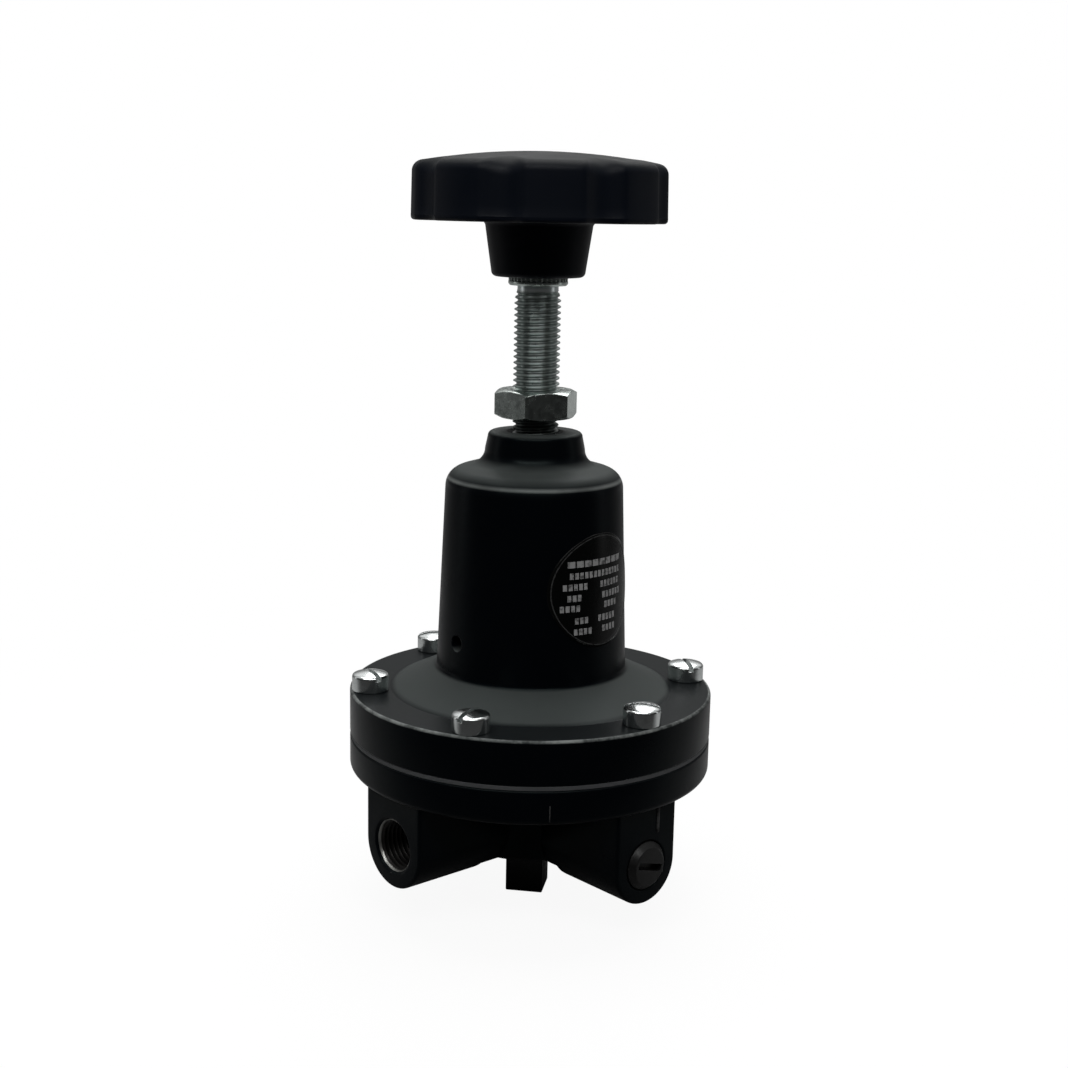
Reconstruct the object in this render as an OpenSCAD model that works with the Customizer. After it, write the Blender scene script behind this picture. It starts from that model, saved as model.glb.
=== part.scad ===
// Knob-adjusted diaphragm pressure regulator for compressed air.
// +Z runs up the adjusting screw; the origin is the centre of the bottom plug's face, on which it stands.
// The main ports open along X (inlet at -X) and the two plugged gauge ports along Y.

/* [Body casting] */
// Outer diameter of both clamped flanges
flange_d = 95; // [90:1:104]
// Thickness of the body's flange
body_flange_h = 8.9; // [8:0.1:12]
// Rounding of the body flange's lower edge
body_edge_round = 1.8; // [0.5:0.1:3]
// Diameter of the central valve housing
hub_d = 38.6; // [34:0.2:46]
// Depth of the valve housing below the flange
hub_h = 20.7; // [20:0.1:26]
// Distance from the axis to the end faces of the main arms
main_reach = 45.2; // [43:0.1:46.5]
// Distance from the axis to the end faces of the gauge arms
gauge_reach = 44.7; // [43:0.1:46.5]
// Distance from the axis at which the main arms step up to the valve housing
main_root = 22.5; // [20:0.5:24]
// Distance from the axis at which the gauge arms step up to the valve housing
gauge_root = 21; // [20:0.5:24]
// Rounding of the step at the root of each arm
root_round = 3; // [1:0.5:4]
// Width of the arms of the main ports
main_arm_w = 22; // [18:0.2:25]
// Width of the arms of the gauge ports
gauge_arm_w = 20.2; // [18:0.2:25]
// Depth of the main port axis below the flange
main_port_drop = 12.6; // [11:0.1:14.5]
// Depth of the gauge port axis below the flange
gauge_port_drop = 15; // [13:0.1:16]
// Rounding of the outer edges of the arms' end faces
arm_edge_round = 0.8; // [0.3:0.1:1.5]
// Width of the upright rib cast on the front gauge arm's end face
rib_w = 0.8; // [0.6:0.1:1.2]
// Length of the rib below the flange
rib_h = 7.2; // [5:0.1:8]
// Distance of the rib from the port's axis, towards +X
rib_side = 3.7; // [0:0.1:6]

/* [Ports] */
// Wall diameter of the four threaded port holes
port_d = 12.4; // [11:0.1:13.4]
// Depth of the port holes
port_depth = 13; // [10:0.5:15]
// Width of the countersink at a main port's mouth
port_chamfer = 1.1; // [0.5:0.1:1.5]
// Width of the countersink at a gauge port's mouth
gauge_port_chamfer = 0.5; // [0.3:0.1:1]
// Diameter of the drilled air passages
passage_d = 7; // [5:0.2:8]
// Diameter of the gauge port bleed holes
bleed_d = 3; // [2:0.1:4]
// Length of a gauge port plug inside the port
gauge_plug_l = 8.5; // [6:0.5:9.5]
// Height that a gauge port plug stands out of the arm's end face
gauge_plug_out = 1.4; // [0.8:0.1:2]
// Diameter of a gauge port plug's outer face
gauge_plug_face_d = 10; // [9.4:0.1:11]
// Angle of a gauge port plug about its axis
gauge_plug_turn = 16; // [0:1:90]
// Length of the slot in a gauge port plug
plug_slot_l = 8.2; // [6:0.2:9]
// Width of the slot in a gauge port plug
plug_slot_w = 1.8; // [1.2:0.1:2.6]
// Depth of the slot in a gauge port plug
plug_slot_h = 2; // [1:0.1:3]

/* [Valve] */
// Diameter of the valve chamber
valve_bore_d = 14; // [13:0.2:15]
// Thickness of casting above the valve chamber
valve_roof_t = 8.5; // [7:0.1:9]
// Diameter of the hole that the valve seat screws into
seat_thread_d = 11; // [10:0.2:12]
// Diameter of the flange on the valve seat
seat_flange_d = 16; // [14:0.5:18]
// Thickness of the flange on the valve seat
seat_flange_h = 2; // [1.5:0.1:2.2]
// Thickness of the gasket under the valve seat
seat_gasket_t = 0.5; // [0.3:0.1:0.6]
// Bore of the valve seat
orifice_d = 5.2; // [4.6:0.1:6]
// Height of the seat lip that stands below the roof of the chamber
seat_lip_h = 0.8; // [0.5:0.1:1]
// Width of the seat lip
seat_lip_w = 1; // [0.8:0.1:1.2]
// Outer diameter of the valve poppet
poppet_d = 9.8; // [9:0.1:10.4]
// Height of the valve poppet
poppet_h = 4.4; // [4:0.1:4.8]
// Depth of the pad's pocket in the poppet
pad_pocket = 1.5; // [1:0.1:1.8]
// Height that the sealing pad stands above the poppet
pad_proud = 0.6; // [0.4:0.1:0.9]
// Diameter of the sealing pad
pad_d = 8.2; // [7.8:0.1:8.4]
// Diameter of the push pin
pin_d = 2.4; // [2:0.1:2.8]
// Diameter of the poppet's guide stem
guide_d = 4.8; // [4:0.1:5.4]
// Length of the poppet's guide stem
guide_l = 8; // [7:0.2:9]
// Wire diameter of the valve spring
valve_wire = 0.8; // [0.6:0.1:0.9]
// Mean diameter of the valve spring
valve_spring_d = 7.6; // [7.2:0.1:8]
// Number of turns of the valve spring
valve_turns = 3; // [2.5:0.5:3]
// Full opening travel of the valve and the diaphragm
valve_travel = 1.2; // [0.8:0.1:1.3]

/* [Bottom plug] */
// Width across the flats of the plug's square head
plug_head_w = 9.9; // [8:0.1:11]
// Height of the plug's square head
plug_head_h = 14.4; // [10:0.1:16]
// Angle of the square head about the axis
plug_head_turn = 39; // [0:1:90]
// Diameter of the plug's thread
plug_thread_d = 16.4; // [16:0.2:18]
// Length of the plug's thread
plug_thread_h = 4.4; // [4:0.1:4.6]
// Height of the pilot that carries the O-ring
plug_pilot_h = 1.6; // [1.5:0.1:1.7]
// Section of the plug's O-ring
oring_t = 1.1; // [0.8:0.1:1.2]

/* [Diaphragm] */
// Thickness of the rubber diaphragm
diaphragm_t = 1.2; // [0.8:0.1:1.6]
// Diameter of the open chamber under the diaphragm
chamber_d = 66; // [62:1:70]
// Depth of the chamber in the body
chamber_h = 4.5; // [4.2:0.1:4.8]
// Height of the diaphragm's centre above its clamped edge
diaphragm_rise = 3.2; // [2.8:0.1:3.6]
// Diameter of both diaphragm plates
plate_d = 53; // [48:1:56]
// Thickness of both diaphragm plates
plate_t = 1.5; // [1.2:0.1:1.6]
// Diameter of the stem through the diaphragm
stem_d = 6; // [5:0.2:7]
// Diameter of the flange under the stem
stem_flange_d = 11; // [9:0.2:12]
// Thickness of the flange under the stem
stem_flange_h = 2; // [1.6:0.1:2.1]
// Diameter of the relief hole through the stem
relief_d = 1.6; // [1.2:0.1:2]
// Width across the flats of the diaphragm nut
stem_nut_w = 10; // [9:0.5:12]
// Height of the diaphragm nut
stem_nut_h = 4; // [3:0.1:5]

/* [Bonnet] */
// Thickness of the bonnet's flange
bonnet_flange_h = 11.3; // [10:0.1:13]
// Rounding of the bonnet flange's upper edge
bonnet_edge_round = 0.6; // [0.3:0.1:1]
// Diameter of the foot of the cone
cone_d = 73; // [68:1:75]
// Height of the cone
cone_h = 5.9; // [4:0.1:7]
// Radius of the fillet between cone and barrel
cone_fillet = 1.6; // [1:0.1:2.5]
// Diameter of the barrel where it meets the cone
barrel_foot_d = 49.6; // [48:0.1:52]
// Diameter of the barrel below its shoulder
barrel_top_d = 45.9; // [45:0.1:47.5]
// Height of the straight part of the barrel
barrel_h = 47.3; // [45:0.5:56]
// Radius of the shoulder
shoulder_round = 5; // [3:0.1:5.5]
// Height of the boss above the straight part of the barrel
boss_rise = 14.3; // [13:0.1:16]
// Diameter of the boss at its foot
boss_foot_d = 25.7; // [24:0.1:27]
// Diameter of the boss at its top
boss_top_d = 24.4; // [22:0.1:25]
// Radius of the fillet at the foot of the boss
boss_fillet = 4.3; // [3:0.1:4.5]
// Rounding of the boss's upper edge
boss_edge_round = 1.3; // [0.5:0.1:2]
// Width of the countersink in the boss
boss_countersink = 1.4; // [0.5:0.1:2]
// Bore of the barrel
spring_bore_d = 38.8; // [38.6:0.1:40]
// Height of the bore's end above the straight part of the barrel
roof_rise = 1.3; // [0.6:0.1:2]
// Diameter of the vent hole
vent_d = 4.2; // [2:0.1:5]
// Height of the vent hole above the cone
vent_rise = 8.9; // [6:0.1:20]
// Angle of the vent hole about the axis, from the -X side
vent_turn = -2.5; // [-20:0.5:20]
// Diameter of the round label
label_d = 29; // [20:1:32]
// Thickness of the round label
label_t = 0.3; // [0.1:0.05:0.5]
// Height of the label's centre above the cone
label_rise = 24; // [20:0.5:28]
// Angle of the label about the axis, from the -Y side
label_turn = 4.5; // [-20:0.5:20]

/* [Flange screws] */
// Number of screws round the flange
screw_n = 6; // [6:6:12]
// Distance of the screws' circle from the flange's edge
screw_edge = 5.2; // [4.9:0.1:5.5]
// Thread diameter of the screws
screw_d = 5; // [4:0.1:5]
// Diameter of the screw heads
screw_head_d = 9.5; // [8:0.1:9.6]
// Height of the upright part of the screw heads
screw_head_h = 4.2; // [3:0.1:5]
// Height of the crown on the screw heads
screw_crown_h = 1.1; // [0.2:0.1:1.5]
// Length of the screws below their heads
screw_l = 18; // [15:0.5:19]
// Width of the slots in the screw heads
screw_slot_w = 1.3; // [0.8:0.1:1.8]
// Depth of the slots in the screw heads
screw_slot_h = 2.1; // [1:0.1:2.6]
// Angle of the first screw's slot
screw_slot_turn = 59.5; // [0:0.5:180]
// Angle by which each screw's slot is turned from the one before
screw_slot_step = 53.5; // [0:0.5:180]
// Angle of the first screw about the axis
screw_turn = 89; // [60:0.5:120]

/* [Adjusting screw] */
// Thread diameter of the adjusting screw
thread_d = 11.86; // [11.5:0.02:12]
// Thread pitch of the adjusting screw
thread_pitch = 1.5; // [1:0.25:2]
// Depth of the thread
thread_depth = 0.85; // [0.6:0.05:1]
// Length of the bare thread above the boss, up to the shank
thread_out = 34.1; // [32:0.1:40]
// Diameter of the plain shank under the knob
shank_d = 10.4; // [9:0.1:10.8]
// Length of the plain shank between thread and collar
shank_l = 2.9; // [2:0.1:5]
// Diameter of the screw's tip
tip_d = 8; // [7:0.1:9]
// Length of the screw's tip
tip_l = 4.2; // [3.8:0.1:5]
// Width across the flats of the locknut
locknut_w = 19; // [18:0.5:22]
// Thickness of the locknut
locknut_h = 7; // [5:0.1:8]
// Gap between the locknut and the boss
locknut_gap = 3.7; // [0.5:0.1:6]
// Angle of the locknut about the axis
locknut_turn = 35; // [0:1:60]

/* [Range spring] */
// Wire diameter of the range spring
spring_wire = 4.4; // [3.5:0.1:4.6]
// Mean diameter of the range spring
spring_mean_d = 31; // [30.8:0.1:31.2]
// Number of turns of the range spring
spring_turns = 6.5; // [5:0.5:7]
// Diameter of both spring rests
rest_d = 37.4; // [37:0.1:38]
// Thickness of both spring rests
rest_t = 3.2; // [2.5:0.1:3.5]
// Height of the pilots that centre the spring
rest_pilot_h = 3; // [2:0.1:4]

/* [Knob] */
// Diameter over the knob's lobes
knob_d = 64.2; // [56:0.2:72]
// Height of the knob's rim
rim_h = 14.6; // [11:0.1:18]
// Height of the domed top above the rim
crown_h = 2.6; // [2:0.1:5]
// Rounding of the rim's upper edge
rim_round = 2.8; // [1:0.1:3.5]
// Rounding of the rim's lower edge
rim_low_round = 0.9; // [0.4:0.1:1.5]
// Number of flutes round the rim
flute_n = 8; // [6:1:12]
// Radius of a flute
flute_r = 8; // [6:0.5:12]
// Depth of a flute
flute_depth = 2; // [0.5:0.1:3]
// Angle of the first flute about the axis
flute_turn = -12.5; // [-45:0.5:45]
// Slope of the bevel at the top of a flute
flute_bevel = 38; // [20:1:50]
// Diameter of the knob's hub at its lower end
knob_hub_d = 23.8; // [20:0.1:26]
// Diameter of the knob's hub under the rim
knob_hub_top_d = 27; // [24:0.1:30]
// Height of the hub below the rim
knob_hub_h = 13.6; // [10:0.1:18]
// Rounding of the hub's lower edge
knob_hub_round = 1.4; // [0.5:0.1:2.5]
// Fillet between the hub and the rim's underside
knob_hub_fillet = 1.2; // [0.5:0.1:2]
// Diameter of the knurled collar of the insert
collar_d = 15.1; // [14:0.1:17]
// Height of the knurled collar
collar_h = 2.1; // [1.5:0.1:4]
// Diameter of the insert inside the knob
insert_d = 13; // [12:0.1:13.8]
// Length of the insert inside the knob
insert_l = 16; // [12:0.5:20]

/* [Fits] */
// Radial clearance of a shaft that turns or slides
run_fit = 0.05; // [0.02:0.01:0.1]
// Radial clearance of pieces that are screwed or pressed together
fixed_fit = 0.02; // [0.01:0.01:0.05]
// Clearance between faces that meet as pieces move
face_gap = 0.03; // [0.02:0.01:0.1]

/* [Hidden] */
$fn = 96;
step = 0.01;
// Levels up the axis
body_underside = plug_head_h;
flange_low = body_underside + hub_h;
joint_low = flange_low + body_flange_h;
joint_high = joint_low + diaphragm_t;
flange_top = joint_high + bonnet_flange_h;
cone_top = flange_top + cone_h;
barrel_top = cone_top + barrel_h;
bore_roof = barrel_top + roof_rise;
barrel_low = cone_top + 0.55 * cone_fillet;
boss_top = barrel_top + boss_rise;
chamber_floor = joint_low - chamber_h;
valve_roof = chamber_floor - valve_roof_t;
seat_lip_z = valve_roof - seat_lip_h;
main_port_z = flange_low - main_port_drop;
gauge_port_z = flange_low - gauge_port_drop;
// Radii
flange_r = flange_d / 2;
chamber_r = chamber_d / 2;
valve_bore_r = valve_bore_d / 2;
port_r = port_d / 2;
screw_circle_r = flange_r - screw_edge;
thread_hole_r = thread_d / 2 + run_fit;
// Bottom plug
plug_thread_top = body_underside + plug_thread_h;
plug_top = plug_thread_top + plug_pilot_h;
oring_mid_r = valve_bore_r - oring_t / 2;
oring_z = plug_thread_top + plug_pilot_h / 2;
// Poppet
poppet_top = seat_lip_z - pad_proud;
poppet_low = poppet_top - poppet_h;
passage_z = plug_top + passage_d / 2;
outlet_rise_x = valve_bore_r + 2 * passage_d;
bleed_y = gauge_reach - port_depth - bleed_d;
// Diaphragm stack
centre_low = joint_low + diaphragm_rise;
centre_high = centre_low + diaphragm_t;
lower_plate_low = centre_low - plate_t;
stem_low = lower_plate_low - stem_flange_h;
plate_top = centre_high + plate_t;
pin_top = stem_low - face_gap;
stem_nut_hole_d = stem_nut_w / cos(30) + 1;
// Range spring
lower_rest_top = plate_top + rest_t;
tip_hole_h = 3;
button_boss_d = 16;
button_boss_h = 3.4;
button_top = bore_roof - 0.6;
button_disc_top = button_top - button_boss_h;
button_low = button_disc_top - rest_t;
spring_in_r = spring_mean_d / 2 - spring_wire / 2;
rest_pilot_r = spring_in_r - 0.3;
// Adjusting screw and knob
tip_low = button_top - tip_hole_h + face_gap;
thread_low = tip_low + tip_l;
thread_high = boss_top + thread_out;
collar_low = thread_high + shank_l;
hub_low = collar_low + collar_h;
rim_low = hub_low + knob_hub_h;
rim_top = rim_low + rim_h;
knob_r = knob_d / 2;
locknut_low = boss_top + locknut_gap;

// Points along an arc about [cx, cy], from one angle to another
function arc(cx, cy, r, from, to, n = 8) =
    [for (i = [0:n]) let (a = from + (to - from) * i / n) [cx + r * cos(a), cy + r * sin(a)]];

// Round tube swept along the points of a function of one step, as one closed polyhedron
module tube(path, wire, sides = 8) {
    n = len(path);
    rings = [for (i = [0:n - 1])
        let (
            ahead = path[min(i + 1, n - 1)] - path[max(i - 1, 0)],
            out = [path[i][0], path[i][1], 0] / norm([path[i][0], path[i][1], 0]),
            along = ahead / norm(ahead),
            up = cross(out, along)
        )
        for (k = [0:sides - 1])
            path[i] + wire / 2 * (cos(360 * k / sides) * out + sin(360 * k / sides) * up)];
    sides_faces = [for (i = [0:n - 2]) for (k = [0:sides - 1])
        let (a = i * sides + k, b = i * sides + (k + 1) % sides)
        each [[a, b, b + sides], [a, b + sides, a + sides]]];
    low_cap = [for (k = [sides - 1:-1:0]) k];
    high_cap = [for (k = [0:sides - 1]) (n - 1) * sides + k];
    polyhedron(rings, concat(sides_faces, [low_cap, high_cap]));
}

// Compression spring with one closed turn at each end, between two heights
module coil_spring(low, high, wire, mean_d, turns, per_turn = 20) {
    closed = wire * 1.04;
    first = low + wire / 2 + face_gap;
    rise = (high - low - wire - 2 * face_gap - 2 * closed) / (turns - 2);
    path = [for (i = [0:turns * per_turn])
        let (
            t = i / per_turn,
            z = first + closed * min(t, 1) + rise * max(0, min(t - 1, turns - 2))
                + closed * max(0, t - turns + 1)
        )
        [mean_d / 2 * cos(360 * t), mean_d / 2 * sin(360 * t), z]];
    tube(path, wire);
}

// Hexagon nut blank with both faces chamfered
module hex_nut(low, height, flats, bore_r) {
    corner = flats / 2 / cos(30);
    bevel = corner - flats / 2;
    drop = bevel * tan(30);
    translate([0, 0, low])
        difference() {
            intersection() {
                cylinder(r = corner, h = height, $fn = 6);
                rotate_extrude()
                    polygon([[0, 0], [flats / 2 - 0.2, 0], [corner, drop], [corner, height - drop],
                        [flats / 2 - 0.2, height], [0, height]]);
            }
            translate([0, 0, -1])
                cylinder(r = bore_r, h = height + 2);
        }
}

// Copies round the screw circle
module each_screw() {
    for (i = [0:screw_n - 1])
        rotate([0, 0, screw_turn + 360 * i / screw_n])
            translate([screw_circle_r, 0, 0])
                children();
}

// One arm along +X: a block with a round underside, its axis at the port's height
module arm(width, axis_z, reach, root) {
    r = width / 2;
    low = axis_z - r;
    intersection() {
        rotate([90, 0, 90])
            linear_extrude(reach)
                union() {
                    translate([0, axis_z])
                        circle(r = r);
                    translate([-r, axis_z])
                        square([width, flange_low + 1 - axis_z]);
                }
        rotate([90, 0, 0])
            translate([0, 0, -width])
                linear_extrude(2 * width)
                    polygon(concat(
                        [[0, flange_low + 1], [0, body_underside], [root, body_underside]],
                        arc(root + root_round, low + root_round, root_round, 180, 270, 6),
                        arc(reach - arm_edge_round, low + arm_edge_round, arm_edge_round, 270, 360, 4),
                        [[reach, flange_low + 1]]));
    }
}

// Port hole from an arm's end face at +X, with its countersink
module port_hole(axis_z, reach, chamfer) {
    translate([reach, 0, axis_z])
        rotate([0, -90, 0])
            union() {
                cylinder(r = port_r, h = port_depth);
                translate([0, 0, -1])
                    cylinder(r1 = port_r + chamfer + 1, r2 = port_r, h = chamfer + 1);
            }
}

// Drilled passage along +X, from one distance to another
module passage(from, to, axis_z, d) {
    translate([from, 0, axis_z])
        rotate([0, 90, 0])
            cylinder(d = d, h = to - from);
}

module body() {
    color([0.03, 0.03, 0.032])
        difference() {
            union() {
                rotate_extrude()
                    polygon(concat([[0, joint_low], [0, flange_low]],
                        arc(flange_r - body_edge_round, flange_low + body_edge_round,
                            body_edge_round, 270, 360, 6),
                        [[flange_r, joint_low]]));
                translate([0, 0, body_underside])
                    cylinder(d1 = hub_d - 2, d2 = hub_d, h = 1);
                translate([0, 0, body_underside + 1])
                    cylinder(d = hub_d, h = hub_h);
                for (side = [0, 180]) {
                    rotate([0, 0, side])
                        arm(main_arm_w, main_port_z, main_reach, main_root);
                    rotate([0, 0, 90 + side])
                        arm(gauge_arm_w, gauge_port_z, gauge_reach, gauge_root);
                }
                casting_rib();
            }
            translate([0, 0, chamber_floor])
                cylinder(d = chamber_d, h = chamber_h + 1);
            translate([0, 0, valve_roof - 1])
                cylinder(d = seat_thread_d, h = valve_roof_t + 2);
            translate([0, 0, body_underside])
                cylinder(d = valve_bore_d, h = valve_roof - body_underside);
            translate([0, 0, body_underside - 1])
                cylinder(d = plug_thread_d, h = plug_thread_h + 1);
            for (side = [0, 180]) {
                rotate([0, 0, side])
                    port_hole(main_port_z, main_reach, port_chamfer);
                rotate([0, 0, 90 + side])
                    port_hole(gauge_port_z, gauge_reach, gauge_port_chamfer);
                rotate([0, 0, 90 + side])
                    passage(bleed_y, gauge_reach - port_depth + 1, gauge_port_z, bleed_d);
                rotate([0, 0, 90 + side])
                    translate([bleed_y, 0, gauge_port_z])
                        cylinder(d = bleed_d, h = chamber_floor - gauge_port_z + 1);
            }
            rotate([0, 0, 180])
                passage(0, main_reach - port_depth + 1, passage_z, passage_d);
            passage(outlet_rise_x, main_reach - port_depth + 1, passage_z, passage_d);
            translate([outlet_rise_x, 0, passage_z])
                cylinder(d = passage_d, h = chamber_floor - passage_z + 1);
            each_screw()
                translate([0, 0, flange_top - screw_l - 1])
                    cylinder(r = screw_d / 2 + fixed_fit, h = flange_top);
        }
}

// Small upright rib cast on the end face of the front gauge arm
module casting_rib() {
    translate([rib_side - rib_w / 2, -gauge_reach - rib_w / 2, flange_low - rib_h])
        cube([rib_w, rib_w, rib_h + step]);
}

module bottom_plug() {
    pilot_r = valve_bore_r - run_fit;
    groove_r = valve_bore_r - oring_t;
    color([0.02, 0.02, 0.02])
        difference() {
            union() {
                rotate([0, 0, plug_head_turn])
                    translate([-plug_head_w / 2, -plug_head_w / 2, 0])
                        cube([plug_head_w, plug_head_w, plug_head_h + 1]);
                translate([0, 0, body_underside])
                    cylinder(r = plug_thread_d / 2 - fixed_fit, h = plug_thread_h - face_gap);
                translate([0, 0, body_underside + 1])
                    cylinder(r = groove_r, h = plug_top - body_underside - 1);
                translate([0, 0, oring_z + oring_t / 2])
                    cylinder(r = pilot_r, h = plug_top - oring_z - oring_t / 2);
            }
            translate([0, 0, poppet_low - guide_l - valve_travel - 0.5])
                cylinder(r = guide_d / 2 + run_fit, h = plug_top);
        }
}

module bottom_plug_oring() {
    color([0.05, 0.05, 0.05])
        translate([0, 0, oring_z])
            rotate_extrude()
                translate([oring_mid_r, 0])
                    circle(d = oring_t - 2 * step, $fn = 24);
}

// Slotted screw plug that closes a gauge port, in the arm along -Y
module gauge_plug() {
    r = port_r - fixed_fit;
    color([0.03, 0.03, 0.03])
        translate([0, -gauge_reach - gauge_plug_out, gauge_port_z])
            rotate([-90, 0, 0])
                rotate([0, 0, gauge_plug_turn])
                    difference() {
                        union() {
                            cylinder(r1 = gauge_plug_face_d / 2, r2 = r, h = gauge_plug_out);
                            translate([0, 0, gauge_plug_out])
                                cylinder(r = r, h = gauge_plug_l);
                        }
                        translate([-plug_slot_l / 2, -plug_slot_w / 2, -1])
                            cube([plug_slot_l, plug_slot_w, plug_slot_h + 1]);
                    }
}

module gauge_plug_front() {
    gauge_plug();
}

module gauge_plug_rear() {
    rotate([0, 0, 180])
        gauge_plug();
}

module valve_seat() {
    seat_low = chamber_floor + seat_gasket_t;
    nose_r = orifice_d / 2 + seat_lip_w;
    color([0.72, 0.58, 0.32])
        difference() {
            union() {
                translate([0, 0, seat_low])
                    cylinder(d = seat_flange_d, h = seat_flange_h);
                translate([0, 0, valve_roof])
                    cylinder(r = seat_thread_d / 2 - fixed_fit, h = seat_low - valve_roof + step);
                translate([0, 0, seat_lip_z])
                    cylinder(r = nose_r, h = seat_lip_h + step);
            }
            translate([0, 0, seat_lip_z - 1])
                cylinder(d = orifice_d, h = seat_low + seat_flange_h - seat_lip_z + 2);
        }
}

module seat_gasket() {
    color([0.25, 0.1, 0.06])
        translate([0, 0, chamber_floor])
            difference() {
                cylinder(d = seat_flange_d, h = seat_gasket_t);
                translate([0, 0, -1])
                    cylinder(r = seat_thread_d / 2 + fixed_fit, h = seat_gasket_t + 2);
            }
}

module valve_poppet() {
    color([0.75, 0.6, 0.34])
        difference() {
            union() {
                translate([0, 0, poppet_low])
                    cylinder(d = poppet_d, h = poppet_h);
                translate([0, 0, poppet_low - guide_l])
                    cylinder(d = guide_d, h = guide_l + step);
            }
            translate([0, 0, poppet_top - pad_pocket])
                cylinder(r = pad_d / 2 + fixed_fit, h = pad_pocket + 1);
            translate([0, 0, poppet_low])
                cylinder(r = pin_d / 2 + fixed_fit, h = poppet_h);
        }
}

module valve_pad() {
    color([0.04, 0.04, 0.04])
        translate([0, 0, poppet_top - pad_pocket])
            difference() {
                cylinder(d = pad_d, h = pad_pocket + pad_proud - face_gap);
                translate([0, 0, -1])
                    cylinder(r = pin_d / 2 + fixed_fit, h = pad_pocket + pad_proud + 2);
            }
}

module valve_pin() {
    color([0.75, 0.76, 0.78])
        translate([0, 0, poppet_low])
            cylinder(d = pin_d, h = pin_top - poppet_low);
}

module valve_spring() {
    color([0.7, 0.71, 0.73])
        coil_spring(plug_top, poppet_low, valve_wire, valve_spring_d, valve_turns, 16);
}

module diaphragm() {
    flat_r = plate_d / 2 + 0.6;
    roll_r = chamber_r - 0.6;
    color([0.1, 0.1, 0.1])
        difference() {
            rotate_extrude()
                polygon([[stem_d / 2 + fixed_fit, centre_low], [flat_r, centre_low],
                    [roll_r, joint_low], [flange_r, joint_low], [flange_r, joint_high],
                    [roll_r + 0.5, joint_high], [flat_r + 0.5, centre_high],
                    [stem_d / 2 + fixed_fit, centre_high]]);
            each_screw()
                translate([0, 0, joint_low - 1])
                    cylinder(r = screw_d / 2 + 0.3, h = diaphragm_t + 2);
        }
}

// Round plate on one side of the diaphragm's centre
module diaphragm_plate(low) {
    translate([0, 0, low])
        difference() {
            cylinder(d = plate_d, h = plate_t);
            translate([0, 0, -1])
                cylinder(r = stem_d / 2 + fixed_fit, h = plate_t + 2);
        }
}

module lower_diaphragm_plate() {
    color([0.62, 0.63, 0.65])
        diaphragm_plate(lower_plate_low);
}

module upper_diaphragm_plate() {
    color([0.62, 0.63, 0.65])
        diaphragm_plate(centre_high);
}

module diaphragm_stem() {
    stem_top = plate_top + stem_nut_h + 1.5;
    color([0.75, 0.6, 0.34])
        difference() {
            union() {
                translate([0, 0, stem_low])
                    cylinder(d = stem_flange_d, h = stem_flange_h);
                translate([0, 0, stem_low])
                    cylinder(d = stem_d, h = stem_top - stem_low);
            }
            translate([0, 0, stem_low - 1])
                cylinder(d = relief_d, h = stem_top - stem_low + 2);
        }
}

module diaphragm_nut() {
    color([0.7, 0.71, 0.73])
        hex_nut(plate_top, stem_nut_h, stem_nut_w, stem_d / 2 + fixed_fit);
}

module lower_spring_seat() {
    color([0.66, 0.67, 0.69])
        difference() {
            union() {
                translate([0, 0, plate_top])
                    cylinder(d = rest_d, h = rest_t);
                translate([0, 0, lower_rest_top])
                    cylinder(r = rest_pilot_r, h = rest_pilot_h);
            }
            translate([0, 0, plate_top - 1])
                cylinder(d = stem_nut_hole_d, h = rest_t + rest_pilot_h + 2);
        }
}

module range_spring() {
    color([0.55, 0.56, 0.58])
        coil_spring(lower_rest_top, button_low, spring_wire, spring_mean_d, spring_turns);
}

module spring_button() {
    color([0.7, 0.71, 0.73])
        difference() {
            union() {
                translate([0, 0, button_low])
                    cylinder(d = rest_d, h = rest_t);
                translate([0, 0, button_low - rest_pilot_h])
                    cylinder(r = rest_pilot_r, h = rest_pilot_h + step);
                translate([0, 0, button_low])
                    cylinder(d = button_boss_d, h = button_top - button_low);
            }
            translate([0, 0, button_top - tip_hole_h])
                cylinder(r = tip_d / 2 + run_fit, h = tip_hole_h + 1);
        }
}

// Radius of the barrel's outside at a height
function barrel_r(z) =
    barrel_foot_d / 2
    - (barrel_foot_d - barrel_top_d) / 2 * (z - barrel_low) / (barrel_top - barrel_low);

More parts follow.
